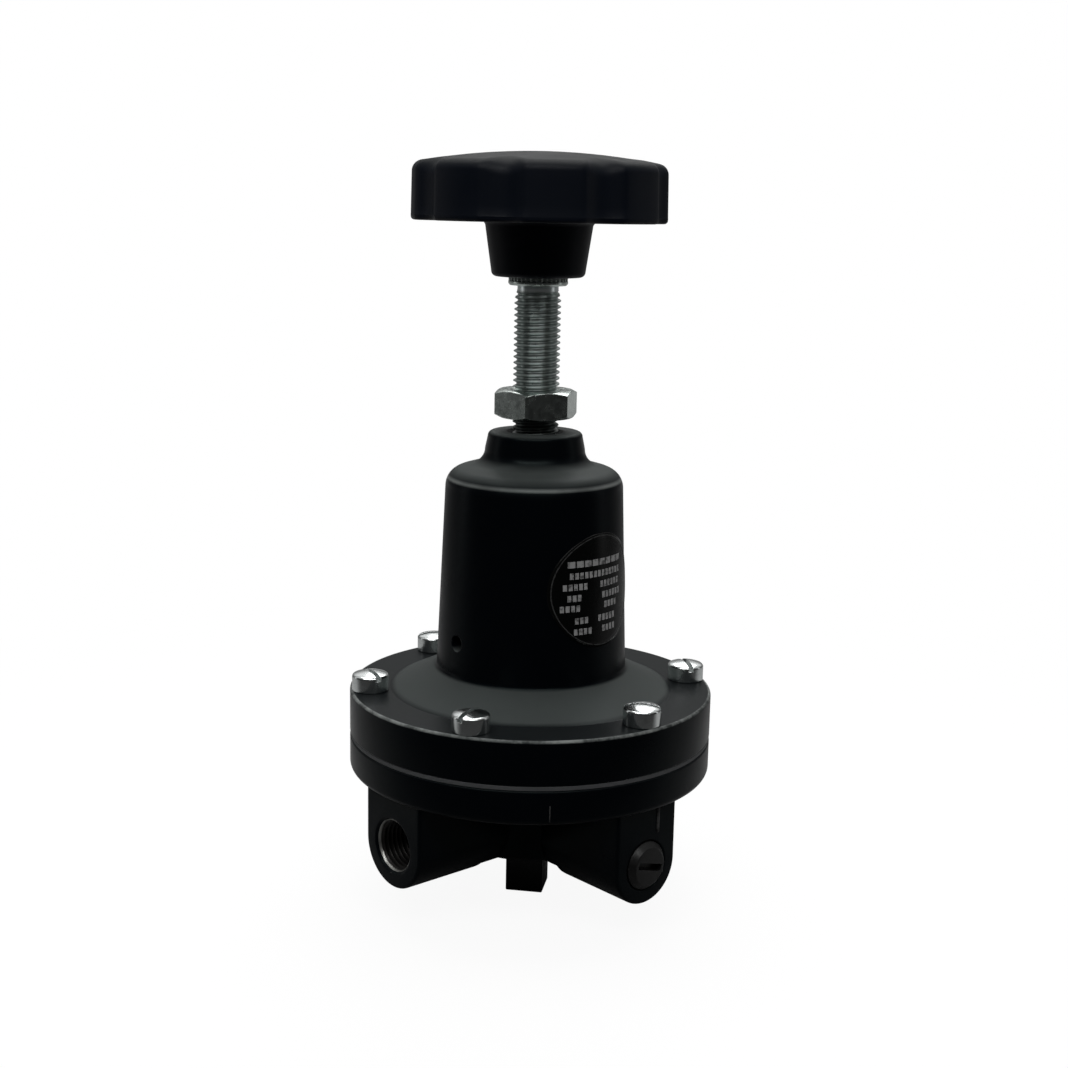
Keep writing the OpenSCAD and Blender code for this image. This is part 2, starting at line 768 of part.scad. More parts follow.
module bonnet() {
    foot_r = barrel_foot_d / 2;
    top_r = barrel_top_d / 2;
    shoulder_x = top_r - shoulder_round;
    fillet_x = boss_foot_d / 2 + boss_fillet;
    fillet_z = barrel_top + shoulder_round + boss_fillet + 0.6;
    bore_r = spring_bore_d / 2;
    bore_round = 3;
    flare_top = cone_top - 2;
    flare_low = joint_high + 6;
    outer = concat(
        [[flange_r, joint_high]],
        arc(flange_r - bonnet_edge_round, flange_top - bonnet_edge_round, bonnet_edge_round, 0, 90, 4),
        [[cone_d / 2, flange_top]],
        arc(foot_r + cone_fillet, barrel_low, cone_fillet, 243, 180, 5),
        arc(shoulder_x, barrel_top, shoulder_round, 0, 74, 8),
        arc(fillet_x, fillet_z, boss_fillet, 258, 180, 8),
        arc(boss_top_d / 2 - boss_edge_round, boss_top - boss_edge_round, boss_edge_round, 0, 90, 5));
    inner = concat(
        [[thread_hole_r + boss_countersink, boss_top], [thread_hole_r, boss_top - boss_countersink],
            [thread_hole_r, bore_roof]],
        arc(bore_r - bore_round, bore_roof - bore_round, bore_round, 90, 0, 4),
        [[bore_r, flare_top], [chamber_r, flare_low], [chamber_r, joint_high]]);
    color([0.03, 0.03, 0.032])
        difference() {
            rotate_extrude()
                polygon(concat(outer, inner));
            each_screw()
                translate([0, 0, joint_high - 1])
                    cylinder(r = screw_d / 2 + 0.3, h = bonnet_flange_h + 2);
            translate([0, 0, cone_top + vent_rise])
                rotate([0, -90, vent_turn])
                    cylinder(d = vent_d, h = flange_r);
        }
}

module bonnet_label() {
    low = cone_top + label_rise - label_d;
    high = cone_top + label_rise + label_d;
    color([0.06, 0.06, 0.065])
        rotate([0, 0, label_turn])
            intersection() {
                rotate_extrude()
                    polygon([[barrel_r(low), low], [barrel_r(low) + label_t, low],
                        [barrel_r(high) + label_t, high], [barrel_r(high), high]]);
                translate([0, 0, cone_top + label_rise])
                    rotate([90, 0, 0])
                        cylinder(d = label_d, h = flange_r);
            }
}

module bonnet_screws() {
    head_round = 0.7;
    color([0.78, 0.78, 0.8])
        for (i = [0:screw_n - 1])
            rotate([0, 0, screw_turn + 360 * i / screw_n])
                translate([screw_circle_r, 0, flange_top])
                    rotate([0, 0, screw_slot_turn + screw_slot_step * i])
                        difference() {
                            union() {
                                rotate_extrude()
                                    polygon(concat([[0, 0], [screw_head_d / 2, 0]],
                                        arc(screw_head_d / 2 - head_round, screw_head_h - head_round,
                                            head_round, 0, 62, 4),
                                        [[screw_head_d / 4, screw_head_h + 0.75 * screw_crown_h],
                                            [0, screw_head_h + screw_crown_h]]));
                                translate([0, 0, -screw_l])
                                    cylinder(d = screw_d, h = screw_l + step);
                            }
                            translate([-screw_head_d, -screw_slot_w / 2,
                                screw_head_h + screw_crown_h - screw_slot_h])
                                cube([2 * screw_head_d, screw_slot_w, screw_slot_h + 1]);
                        }
}

module adjusting_screw() {
    major_r = thread_d / 2;
    root_r = major_r - thread_depth;
    turns = floor((thread_high - thread_low - 2) / thread_pitch);
    start = thread_high - 1 - turns * thread_pitch;
    crest = thread_pitch / 8;
    thread = [for (i = [0:turns - 1])
        let (z = start + i * thread_pitch)
        each [[root_r, z], [major_r, z + thread_pitch / 2 - crest], [major_r, z + thread_pitch / 2 + crest]]];
    color([0.72, 0.73, 0.75])
        union() {
            translate([0, 0, tip_low])
                cylinder(d = tip_d, h = thread_low - tip_low + step);
            rotate_extrude()
                polygon(concat([[0, thread_low], [root_r, thread_low]], thread,
                    [[root_r, start + turns * thread_pitch], [shank_d / 2, thread_high], [0, thread_high]]));
            translate([0, 0, thread_high - step])
                cylinder(d = shank_d, h = shank_l + collar_h + insert_l - 1);
        }
}

module locknut() {
    color([0.7, 0.71, 0.73])
        rotate([0, 0, locknut_turn])
            hex_nut(locknut_low, locknut_h, locknut_w, thread_hole_r);
}

module knob_insert() {
    color([0.6, 0.61, 0.63])
        difference() {
            union() {
                translate([0, 0, collar_low])
                    cylinder(d = collar_d, h = collar_h);
                translate([0, 0, hub_low - step])
                    cylinder(r = insert_d / 2 - fixed_fit, h = insert_l);
            }
            translate([0, 0, collar_low - 1])
                cylinder(r = shank_d / 2 + fixed_fit, h = collar_h + insert_l + 2);
        }
}

// Flutes round the knob's rim, each with a bevelled upper end
module flutes() {
    centre_x = knob_r + flute_r - flute_depth;
    bevel_z = rim_top - 0.7 * rim_round;
    for (i = [0:flute_n - 1])
        rotate([0, 0, flute_turn + 360 * i / flute_n]) {
            translate([centre_x, 0, rim_low - 1])
                cylinder(r = flute_r, h = rim_h + crown_h + 2);
            translate([centre_x, 0, bevel_z])
                rotate([0, -flute_bevel, 0])
                    cylinder(r = flute_r, h = rim_h);
        }
}

module knob() {
    side_draft = 0.2;
    edge_r = knob_r - side_draft;
    crown_r = edge_r - rim_round;
    dome_r = (crown_r * crown_r + crown_h * crown_h) / (2 * crown_h);
    dome_turn = asin(crown_r / dome_r);
    fillet_x = knob_hub_top_d / 2 + knob_hub_fillet;
    color([0.04, 0.04, 0.042])
        difference() {
            rotate_extrude()
                polygon(concat(
                    [[0, hub_low]],
                    arc(knob_hub_d / 2 - knob_hub_round, hub_low + knob_hub_round,
                        knob_hub_round, 270, 360, 5),
                    arc(fillet_x, rim_low - knob_hub_fillet, knob_hub_fillet, 180, 90, 4),
                    arc(knob_r - rim_low_round, rim_low + rim_low_round, rim_low_round, 270, 360, 4),
                    arc(crown_r, rim_top - rim_round, rim_round, 0, 78, 6),
                    arc(0, rim_top + crown_h - dome_r, dome_r, 90 - dome_turn * 0.97, 90, 10)));
            flutes();
            translate([0, 0, hub_low - 1])
                cylinder(d = insert_d, h = insert_l + 1 + face_gap);
        }
}

body();
bottom_plug();
bottom_plug_oring();
gauge_plug_front();
gauge_plug_rear();
valve_seat();
seat_gasket();
valve_poppet();
valve_pad();
valve_pin();
valve_spring();
diaphragm();
lower_diaphragm_plate();
upper_diaphragm_plate();
diaphragm_stem();
diaphragm_nut();
lower_spring_seat();
range_spring();
spring_button();
bonnet();
bonnet_label();
bonnet_screws();
adjusting_screw();
locknut();
knob_insert();
knob();
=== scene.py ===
import bpy
import bmesh
import math
from mathutils import Matrix, Vector

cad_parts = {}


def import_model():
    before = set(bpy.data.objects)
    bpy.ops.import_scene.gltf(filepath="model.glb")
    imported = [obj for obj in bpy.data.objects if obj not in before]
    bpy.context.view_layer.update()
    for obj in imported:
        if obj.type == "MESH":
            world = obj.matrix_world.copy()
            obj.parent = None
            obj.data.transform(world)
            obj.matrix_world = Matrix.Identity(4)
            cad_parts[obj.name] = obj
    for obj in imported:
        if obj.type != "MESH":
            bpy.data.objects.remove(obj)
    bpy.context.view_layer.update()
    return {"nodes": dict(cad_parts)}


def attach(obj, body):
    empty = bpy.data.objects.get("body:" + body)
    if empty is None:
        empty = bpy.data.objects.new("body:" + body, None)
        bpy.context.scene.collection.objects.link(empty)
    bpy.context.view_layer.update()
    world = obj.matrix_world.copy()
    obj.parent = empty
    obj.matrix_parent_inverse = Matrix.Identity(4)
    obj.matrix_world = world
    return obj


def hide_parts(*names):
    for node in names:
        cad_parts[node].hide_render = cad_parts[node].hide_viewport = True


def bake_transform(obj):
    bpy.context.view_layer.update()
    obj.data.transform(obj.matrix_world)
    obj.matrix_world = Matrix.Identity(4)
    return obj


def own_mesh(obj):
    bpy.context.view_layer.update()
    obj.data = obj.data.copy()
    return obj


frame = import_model()
scene = bpy.context.scene
MM = 0.001
TAU = 2 * math.pi

# Levels, radii and angles of the model, in millimetres and degrees, as in the part's own source
FLANGE_R = 47.5
BODY_LOW = 14.4
FLANGE_LOW = 35.1
JOINT_LOW = 44.0
JOINT_HIGH = 45.2
FLANGE_TOP = 56.5
CONE_TOP = 62.4
CONE_FILLET = 1.6
BARREL_LOW = CONE_TOP + 0.55 * CONE_FILLET
BARREL_TOP = 109.7
BARREL_FOOT_R = 24.8
BARREL_TOP_R = 22.95
BOSS_TOP = 124.0
THREAD_LOW = 111.63
THREAD_HIGH = 158.1
THREAD_HOLE_R = 5.98
HUB_LOW = 163.1
RIM_LOW = 176.7
MAIN_PORT_Z = 22.5
GAUGE_PORT_Z = 20.1
MAIN_REACH = 45.2
GAUGE_REACH = 44.7
MAIN_ROOT = 22.5
GAUGE_ROOT = 21.0
ROOT_ROUND = 3.0
MAIN_ARM_W = 22.0
GAUGE_ARM_W = 20.2
HUB_R = 19.3
PORT_R = 6.2
PORT_BORE_R = PORT_R + 0.4
PORT_DEPTH = 13.0
CHAMBER_R = 33.0
CHAMBER_FLOOR = 39.5
SHEET_LOW = 47.2
RANGE_SPRING_LOW = 53.1
RANGE_SPRING_HIGH = 103.8
VALVE_SPRING_LOW = 20.4
VALVE_SPRING_HIGH = 25.2
SCREW_RING = 42.3
SCREW_COUNT = 6
SCREW_TURN = 89.0
TAPPED_R = 2.52
CLEARANCE_R = 2.8
SLOT_TURN = 59.5
SLOT_STEP = 53.5
VENT_TURN = -2.5
GAUGE_PLUG_TURN = -16
BOTTOM_PLUG_TURN = 39
LOCKNUT_TURN = 35
FLUTE_TURN = -12.5
LABEL_R = 14.5
LABEL_Z = CONE_TOP + 24.0
LABEL_T = 0.3
LABEL_TURN = 4.5


def barrel_r(z):
    """The barrel's radius at a height: it narrows upwards."""
    return BARREL_FOOT_R - (BARREL_FOOT_R - BARREL_TOP_R) * (z - BARREL_LOW) / (BARREL_TOP - BARREL_LOW)


# ---------------------------------------------------------------- mesh helpers
def arc(cx, cz, r, a0, a1, n=8):
    """Points along an arc, angles in degrees."""
    out = []
    for i in range(n + 1):
        a = math.radians(a0 + (a1 - a0) * i / n)
        out.append((cx + r * math.cos(a), cz + r * math.sin(a)))
    return out


def make(name, verts, faces, sharp=35):
    """A mesh object from millimetre points, welded, with outward normals."""
    me = bpy.data.meshes.new(name)
    me.from_pydata([(x * MM, y * MM, z * MM) for x, y, z in verts], [], faces)
    bm = bmesh.new()
    bm.from_mesh(me)
    bmesh.ops.remove_doubles(bm, verts=bm.verts, dist=1e-7)
    bmesh.ops.dissolve_degenerate(bm, edges=bm.edges, dist=1e-8)
    bmesh.ops.recalc_face_normals(bm, faces=bm.faces)
    bm.to_mesh(me)
    bm.free()
    ob = bpy.data.objects.new(name, me)
    scene.collection.objects.link(ob)
    smooth(ob, sharp)
    return ob


def smooth(ob, sharp=35):
    """Smooth shading, with edges sharper than an angle in degrees left hard."""
    ob.data.shade_smooth()
    ob.data.set_sharp_from_angle(angle=math.radians(sharp))


def rings(rows, closed=False):
    """Points and faces of rows of equally many points that each go round once."""
    n = len(rows[0])
    verts = [p for row in rows for p in row]
    faces = []
    last = len(rows) if closed else len(rows) - 1
    for j in range(last):
        a = j * n
        b = ((j + 1) % len(rows)) * n
        for i in range(n):
            k = (i + 1) % n
            faces.append((a + i, a + k, b + k, b + i))
    return verts, faces


def circle(r, seg):
    """Points (x, y) round a circle."""
    return [(r * math.cos(TAU * i / seg), r * math.sin(TAU * i / seg)) for i in range(seg)]


def lathe(name, profile, seg=160, closed=True, sharp=35):
    """A turned solid from (radius, height) points; points on the axis become one."""
    rows = [[(x, y, z) for x, y in circle(r, seg)] for r, z in profile]
    return make(name, *rings(rows, closed), sharp)


def turned(name, seg, heights, radius):
    """A solid with flat ends whose radius is a function of the angle."""
    angles = [TAU * i / seg for i in range(seg)]
    rows = [[(0, 0, heights[0])] * seg]
    rows += [[(radius(a) * math.cos(a), radius(a) * math.sin(a), z) for a in angles] for z in heights]
    rows.append([(0, 0, heights[-1])] * seg)
    return make(name, *rings(rows))


def place(ob, matrix):
    """Moves the mesh itself, so that the object keeps its origin at the frame's."""
    ob.data.transform(matrix)
    return ob


def mm(x, y, z):
    """A move in millimetres."""
    return Matrix.Translation(Vector((x * MM, y * MM, z * MM)))


def turn(degrees, axis):
    """A turn about an axis through the frame's origin."""
    return Matrix.Rotation(math.radians(degrees), 4, axis)


def screw_places(z=0):
    """The places of the flange screws on their circle."""
    return [turn(SCREW_TURN + 360 / SCREW_COUNT * i, "Z") @ mm(SCREW_RING, 0, z) for i in range(SCREW_COUNT)]


def cut(target, tools, operation="DIFFERENCE", sharp=35):
    """Joins or cuts a solid with others, which are then gone."""
    for tool in tools:
        mod = target.modifiers.new("cut", "BOOLEAN")
        mod.object = tool
        mod.operation = operation
        mod.solver = "EXACT"
        depsgraph = bpy.context.evaluated_depsgraph_get()
        done = bpy.data.meshes.new_from_object(target.evaluated_get(depsgraph))
        target.modifiers.clear()
        old = target.data
        target.data = done
        bpy.data.meshes.remove(old)
        bpy.data.objects.remove(tool)
    smooth(target, sharp)
    return target


def box_between(name, low, high):
    """A box between two opposite corners."""
    (x0, y0, z0), (x1, y1, z1) = low, high
    verts = [(x, y, z) for x in (x0, x1) for y in (y0, y1) for z in (z0, z1)]
    faces = [(0, 1, 3, 2), (4, 6, 7, 5), (0, 4, 5, 1), (2, 3, 7, 6), (0, 2, 6, 4), (1, 5, 7, 3)]
    return make(name, verts, faces)


def rod(name, r, low, high, seg=48):
    """A plain cylinder about the Z axis."""
    return lathe(name, [(0, low), (r, low), (r, high), (0, high)], seg, False)


def screw_holes(r, low, high):
    """Cutters for the holes that the flange screws go through."""
    return [place(rod("screw_hole", r, low, high, 32), spot) for spot in screw_places()]


def swept(name, path, wire, sides=20):
    """A round wire along a list of points that rises about the axis."""
    rows = [[tuple(path[0])] * sides]
    last = len(path) - 1
    for i, p in enumerate(path):
        along = (Vector(path[min(i + 1, last)]) - Vector(path[max(i - 1, 0)])).normalized()
        out = Vector((p[0], p[1], 0)).normalized()
        up = along.cross(out).normalized()
        out = up.cross(along).normalized()
        rows.append([tuple(Vector(p) + wire / 2 * (c * out + s * up)) for c, s in circle(1, sides)])
    rows.append([tuple(path[-1])] * sides)
    return make(name, *rings(rows), 60)


def dress(ob, material, body=None, nodes=()):
    """Gives a piece its material, slot, body and the solids that it stands for."""
    ob.data.materials.clear()
    ob.data.materials.append(material)
    if body:
        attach(ob, body)
    if nodes:
        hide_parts(*nodes)
    return ob


# ---------------------------------------------------------------- materials
class Nodes:
    """Short hand for building a material's node tree."""

    def __init__(self, name):
        self.mat = bpy.data.materials.new(name)
        self.mat.use_nodes = True
        self.tree = self.mat.node_tree
        self.shader = self.tree.nodes["Principled BSDF"]
        self.coord = self.add("ShaderNodeTexCoord").outputs["Object"]

    def add(self, kind, **values):
        node = self.tree.nodes.new(kind)
        for key, value in values.items():
            setattr(node, key, value)
        return node

    def link(self, a, b):
        self.tree.links.new(a, b)

    def noise(self, scale, detail=3.0, roughness=0.5, stretch=None):
        node = self.add("ShaderNodeTexNoise")
        node.inputs["Scale"].default_value = scale
        node.inputs["Detail"].default_value = detail
        node.inputs["Roughness"].default_value = roughness
        self.link(self.scaled(stretch) if stretch else self.coord, node.inputs["Vector"])
        return node.outputs["Fac"]

    def scaled(self, factors):
        """The object's coordinates, each times its own factor."""
        mapping = self.add("ShaderNodeMapping")
        mapping.inputs["Scale"].default_value = factors
        self.link(self.coord, mapping.inputs["Vector"])
        return mapping.outputs["Vector"]

    def spread(self, value, from_low, from_high, to_low=0.0, to_high=1.0):
        node = self.add("ShaderNodeMapRange")
        node.inputs["From Min"].default_value = from_low
        node.inputs["From Max"].default_value = from_high
        node.inputs["To Min"].default_value = to_low
        node.inputs["To Max"].default_value = to_high
        self.link(value, node.inputs["Value"])
        return node.outputs["Result"]

    def vary(self, noise, low, high):
        """A number that follows a noise's middle range from low to high."""
        return self.spread(noise, 0.3, 0.7, low, high)

    def split_z(self, vector):
        split = self.add("ShaderNodeSeparateXYZ")
        self.link(vector, split.inputs[0])
        return split.outputs["Z"]

    def level(self, start, stop, low=0.0, high=1.0):
        """From low to high between two heights of the object, in millimetres."""
        return self.spread(self.split_z(self.coord), start * MM, stop * MM, low, high)

    def upward(self, low=0.5, high=0.95):
        """0 on upright faces, 1 on faces that look up."""
        return self.spread(self.split_z(self.add("ShaderNodeNewGeometry").outputs["Normal"]), low, high)

    def length(self, vector):
        node = self.add("ShaderNodeVectorMath", operation="LENGTH")
        self.link(vector, node.inputs[0])
        return node.outputs["Value"]

    def math(self, operation, a, b):
        node = self.add("ShaderNodeMath", operation=operation)
        for socket, value in zip(node.inputs, (a, b)):
            if isinstance(value, float):
                socket.default_value = value
            else:
                self.link(value, socket)
        return node.outputs[0]

    def times(self, first, *others):
        for other in others:
            first = self.math("MULTIPLY", first, other)
        return first

    def mix(self, factor, a, b):
        node = self.add("ShaderNodeMix", data_type="RGBA")
        self.link(factor, node.inputs["Factor"])
        for key, value in (("A", a), ("B", b)):
            socket = [s for s in node.inputs if s.name == key and s.type == "RGBA"][0]
            if isinstance(value, tuple):
                socket.default_value = (*value, 1)
            else:
                self.link(value, socket)
        return [s for s in node.outputs if s.type == "RGBA"][0]

    def rounded(self, radius):
        """The normal as it would be with edges rounded by a radius in millimetres."""
        bevel = self.add("ShaderNodeBevel", samples=6)
        bevel.inputs["Radius"].default_value = radius * MM
        return bevel.outputs["Normal"]

    def edges(self, radius, low, high):
        """Near 1 along edges, 0 on flats: how far a rounded normal leans from the true one."""
        dot = self.add("ShaderNodeVectorMath", operation="DOT_PRODUCT")
        self.link(self.rounded(radius), dot.inputs[0])
        self.link(self.add("ShaderNodeNewGeometry").outputs["Normal"], dot.inputs[1])
        return self.spread(self.math("SUBTRACT", 1.0, dot.outputs["Value"]), low, high)

    def bump(self, heights, edge=0.0):
        """heights: (height, strength, distance) from coarse to fine; edge: rounding; both in millimetres."""
        normal = self.rounded(edge) if edge else None
        for height, strength, distance in heights:
            node = self.add("ShaderNodeBump")
            node.inputs["Strength"].default_value = strength
            node.inputs["Distance"].default_value = distance * MM
            self.link(height, node.inputs["Height"])
            if normal:
                self.link(normal, node.inputs["Normal"])
            normal = node.outputs["Normal"]
        self.link(normal, self.shader.inputs["Normal"])

    def set(self, **values):
        names = {"base": "Base Color", "metallic": "Metallic", "roughness": "Roughness",
                 "specular": "Specular IOR Level", "tint": "Specular Tint"}
        for key, value in values.items():
            socket = self.shader.inputs[names[key]]
            if isinstance(value, float):
                socket.default_value = value
            elif isinstance(value, tuple):
                socket.default_value = (*value, 1)
            else:
                self.link(value, socket)


def painted_casting():
    """Black paint: dust with a painted sheen where it looks up, painted highlight lines on the flange's rim
    and the shoulder, and chipped.
    """
    black, blue_black = (0.0008, 0.0012, 0.0019), (0.0014, 0.002, 0.0031)
    dust_and_sheen_tone, bare = (0.0445, 0.05, 0.0485), (0.42, 0.42, 0.41)
    rim_highlight_tone, shoulder_highlight_tone = (0.16, 0.17, 0.165), (0.125, 0.134, 0.13)
    n = Nodes("black_casting_paint")
    cloud = n.noise(45.0, 4.0, 0.6)
    grain = n.noise(1500.0, 2.0, 0.5)
    peel = n.noise(420.0, 2.0, 0.4)
    # Dust and painted sheen: a paler tone on faces that look up, weaker on the flange's flat top.
    dust_and_sheen = n.times(n.upward(), n.vary(cloud, 0.85, 1.0), n.level(FLANGE_TOP + 0.1, FLANGE_TOP + 0.7, 0.14))
    paint = n.mix(dust_and_sheen, n.mix(cloud, black, blue_black), dust_and_sheen_tone)
    # Painted highlight: a pale, patchy line round the flange's top rim.
    outside = n.spread(n.length(n.scaled((1, 1, 0))), (FLANGE_R - 0.8) * MM, (FLANGE_R - 0.6) * MM)
    patches = n.spread(n.noise(130.0, 4.0, 0.7), 0.38, 0.6, 0.15)
    paint = n.mix(n.times(outside, n.level(FLANGE_TOP - 0.7, FLANGE_TOP - 0.4), patches), paint, rim_highlight_tone)
    # Painted highlight: a pale line round the bonnet's shoulder just above the barrel.
    shoulder_highlight_low = n.level(BARREL_TOP + 1.8, BARREL_TOP + 2.3)
    shoulder_highlight_high = n.level(BARREL_TOP + 2.5, BARREL_TOP + 3.1, 1.0, 0.0)
    paint = n.mix(n.times(shoulder_highlight_low, shoulder_highlight_high, n.spread(cloud, 0.35, 0.6, 0.5)), paint, shoulder_highlight_tone)
    chips = n.spread(n.noise(900.0, 6.0, 0.75), 0.60, 0.66)
    worn = n.times(n.edges(0.35, 0.03, 0.2), chips, n.spread(n.noise(60.0, 2.0, 0.5), 0.46, 0.58))
    rough = n.math("ADD", n.vary(cloud, 0.26, 0.34), n.times(dust_and_sheen, 0.22))
    n.set(base=n.mix(worn, paint, bare), roughness=rough, specular=0.06, tint=(0.8, 1.0, 0.97))
    n.bump([(peel, 0.1, 0.05), (grain, 0.08, 0.02)], edge=0.45)
    return n.mat


def dark_steel():
    """Blackened and oiled steel, worn to grey on its edges."""
    n = Nodes("black_oiled_steel")
    cloud = n.noise(120.0, 4.0, 0.6)
    grain = n.noise(1400.0, 3.0, 0.6)
    worn = n.times(n.edges(0.3, 0.05, 0.3), n.spread(n.noise(700.0, 4.0, 0.7), 0.5, 0.7))
    black = n.mix(cloud, (0.003, 0.003, 0.003), (0.006, 0.006, 0.006))
    n.set(base=n.mix(worn, black, (0.16, 0.16, 0.16)), roughness=n.vary(grain, 0.3, 0.46), specular=0.25)
    n.bump([(cloud, 0.2, 0.1), (grain, 0.15, 0.03)], edge=0.25)
    return n.mat


def shade(tone, factor):
    """A colour times a factor."""
    return tuple(c * factor for c in tone)


def plated(name, tone, rough, edge=0.15, scale=600.0, dull=0.12, spotted=0.6, grainy=0.12, ends=None):
    """Plated or bare metal. ends: the height below which it is darkened as painted shade, and that above
    which it is bright.
    """
    n = Nodes(name)
    cloud = n.noise(90.0, 4.0, 0.6)
    grain = n.noise(scale, 4.0, 0.6)
    fine = n.noise(2600.0, 2.0, 0.5)
    spots = n.spread(n.noise(380.0, 5.0, 0.7), 0.58, 0.72)
    base = n.mix(n.times(spots, spotted), n.mix(cloud, tone, shade(tone, 0.86)), shade(tone, 0.55))
    if ends:
        painted_shade_top, bright = ends
        # Painted shade: darker below the first height.
        base = n.mix(n.level(painted_shade_top - 0.4, painted_shade_top, 1.0, 0.0), base, shade(tone, 0.3))
        base = n.mix(n.level(bright, bright + 0.6), base, (0.8, 0.86, 0.86))
    n.set(base=base, metallic=1.0, roughness=n.vary(grain, rough, rough + dull))
    n.bump([(grain, grainy, 0.03), (fine, grainy * 0.66, 0.01)], edge=edge)
    return n.mat


def knob_plastic():
    """Satin black plastic, duller on top, with dust and a painted sheen as a paler grey on top, and pale
    scuffs along its edges.
    """
    n = Nodes("black_knob_plastic")
    cloud = n.noise(55.0, 4.0, 0.6)
    grain = n.noise(2200.0, 2.0, 0.5)
    scuffs = n.spread(n.noise(260.0, 6.0, 0.8, stretch=(1.0, 1.0, 2.2)), 0.66, 0.74)
    side = n.mix(cloud, (0.0019, 0.0031, 0.0062), (0.0027, 0.0043, 0.008))
    # Dust and painted sheen: faces that look up are a paler grey than the bluish sides.
    plain = n.mix(n.upward(0.3, 0.9), side, (0.004, 0.005, 0.0055))
    n.set(base=n.mix(n.times(n.edges(0.8, 0.01, 0.12), scuffs), plain, (0.09, 0.09, 0.09)),
          roughness=n.math("ADD", n.vary(cloud, 0.42, 0.5), n.times(n.upward(0.6, 0.95), 0.22)), specular=0.1)
    n.bump([(n.noise(150.0, 2.0, 0.5), 0.05, 0.2), (grain, 0.14, 0.025)], edge=0.3)
    return n.mat


def rubber(name, tone):
    """Matt black rubber, its colour times a tone."""
    n = Nodes(name)
    grain = n.noise(1800.0, 3.0, 0.6)
    cloud = n.noise(140.0, 4.0, 0.6)
    n.set(base=n.mix(cloud, shade((0.016, 0.017, 0.018), tone), shade((0.032, 0.033, 0.034), tone)),
          roughness=n.vary(grain, 0.6, 0.8), specular=0.3)
    n.bump([(n.noise(500.0, 3.0, 0.6), 0.3, 0.12), (grain, 0.2, 0.03)], edge=0.1)
    return n.mat


def fibre():
    """Red-brown gasket fibre."""
    n = Nodes("pressed_fibre")
    grain = n.noise(1300.0, 4.0, 0.7)
    n.set(base=n.mix(grain, (0.18, 0.05, 0.025), (0.32, 0.12, 0.07)), roughness=n.vary(grain, 0.7, 0.9))
    n.bump([(grain, 0.3, 0.05)], edge=0.1)
    return n.mat


def brass():
    """Brass with fine turning lines round the Z axis."""
    n = Nodes("turned_brass")
    cloud = n.noise(150.0, 3.0, 0.5)
    lines = n.noise(900.0, 3.0, 0.5, stretch=(0.05, 0.05, 1.6))
    n.set(base=n.mix(cloud, (0.78, 0.6, 0.3), (0.66, 0.5, 0.24)), metallic=1.0,
          roughness=n.vary(lines, 0.22, 0.36))
    n.bump([(lines, 0.15, 0.03)], edge=0.12)
    return n.mat


def label_film():
    """Glossy black film."""
    n = Nodes("black_label_film")
    cloud = n.noise(160.0, 3.0, 0.5)
    grain = n.noise(1600.0, 2.0, 0.5)
    n.set(base=n.mix(cloud, (0.0014, 0.0016, 0.0015), (0.0024, 0.0027, 0.0026)),
          roughness=n.vary(grain, 0.2, 0.28), specular=0.12)
    n.bump([(cloud, 0.06, 0.05), (grain, 0.05, 0.01)])
    return n.mat


def label_print(name, tone):
    """Grey ink, or scuffed paint with a painted highlight, that has rubbed off in places."""
    n = Nodes(name)
    worn = n.spread(n.noise(900.0, 4.0, 0.6), 0.5, 0.66)
    grey = (tone, tone, tone)
    n.set(base=n.mix(worn, grey, shade(grey, 0.25)), roughness=n.spread(worn, 0.0, 1.0, 0.5, 0.7),
          specular=0.2)
    n.bump([(n.noise(1500.0, 2.0, 0.5), 0.1, 0.01)])
    return n.mat


PAINT = painted_casting()
LABEL = label_film()
PRINT = label_print("pale_label_print", 0.27)
FAINT_PRINT = label_print("faint_label_print", 0.035)
SCUFFED_AND_HIGHLIGHT = label_print("scuffed_paint_and_highlight", 0.05)
STEEL_BLACK = dark_steel()
ZINC = plated("bright_zinc_plate", (0.51, 0.56, 0.535), 0.18, edge=0.3, spotted=0.35)
SCREW_ZINC = plated("bright_screw_plate", (0.75, 0.78, 0.775), 0.14, scale=260.0, grainy=0.3)
BARE = plated("machined_casting", (0.285, 0.285, 0.27), 0.3, edge=0.0)
# Near black: paint in the ports and painted shade of their deep recess.
PORT_PAINT_AND_SHADE = plated("cut_port_thread_paint_and_shade", (0.025, 0.024, 0.023), 0.34, edge=0.0)
# Painted shade darkens the thread below the locknut.
ZINC_THREAD = plated("zinc_plated_thread", (0.355, 0.4, 0.385), 0.27, edge=0.0, dull=0.08, spotted=0.2,
                     grainy=0.03, ends=(BOSS_TOP + 3.9, THREAD_HIGH + 1.2))
PRESSED = plated("zinc_plated_pressing", (0.62, 0.63, 0.65), 0.34, edge=0.2)
SPRING = plated("oiled_spring_wire", (0.4, 0.41, 0.43), 0.3, edge=0.0)
BRASS = brass()
RUBBER = rubber("nitrile_rubber", 1.0)
SHEET_RUBBER = rubber("diaphragm_rubber", 2.6)
FIBRE = fibre()
KNOB = knob_plastic()

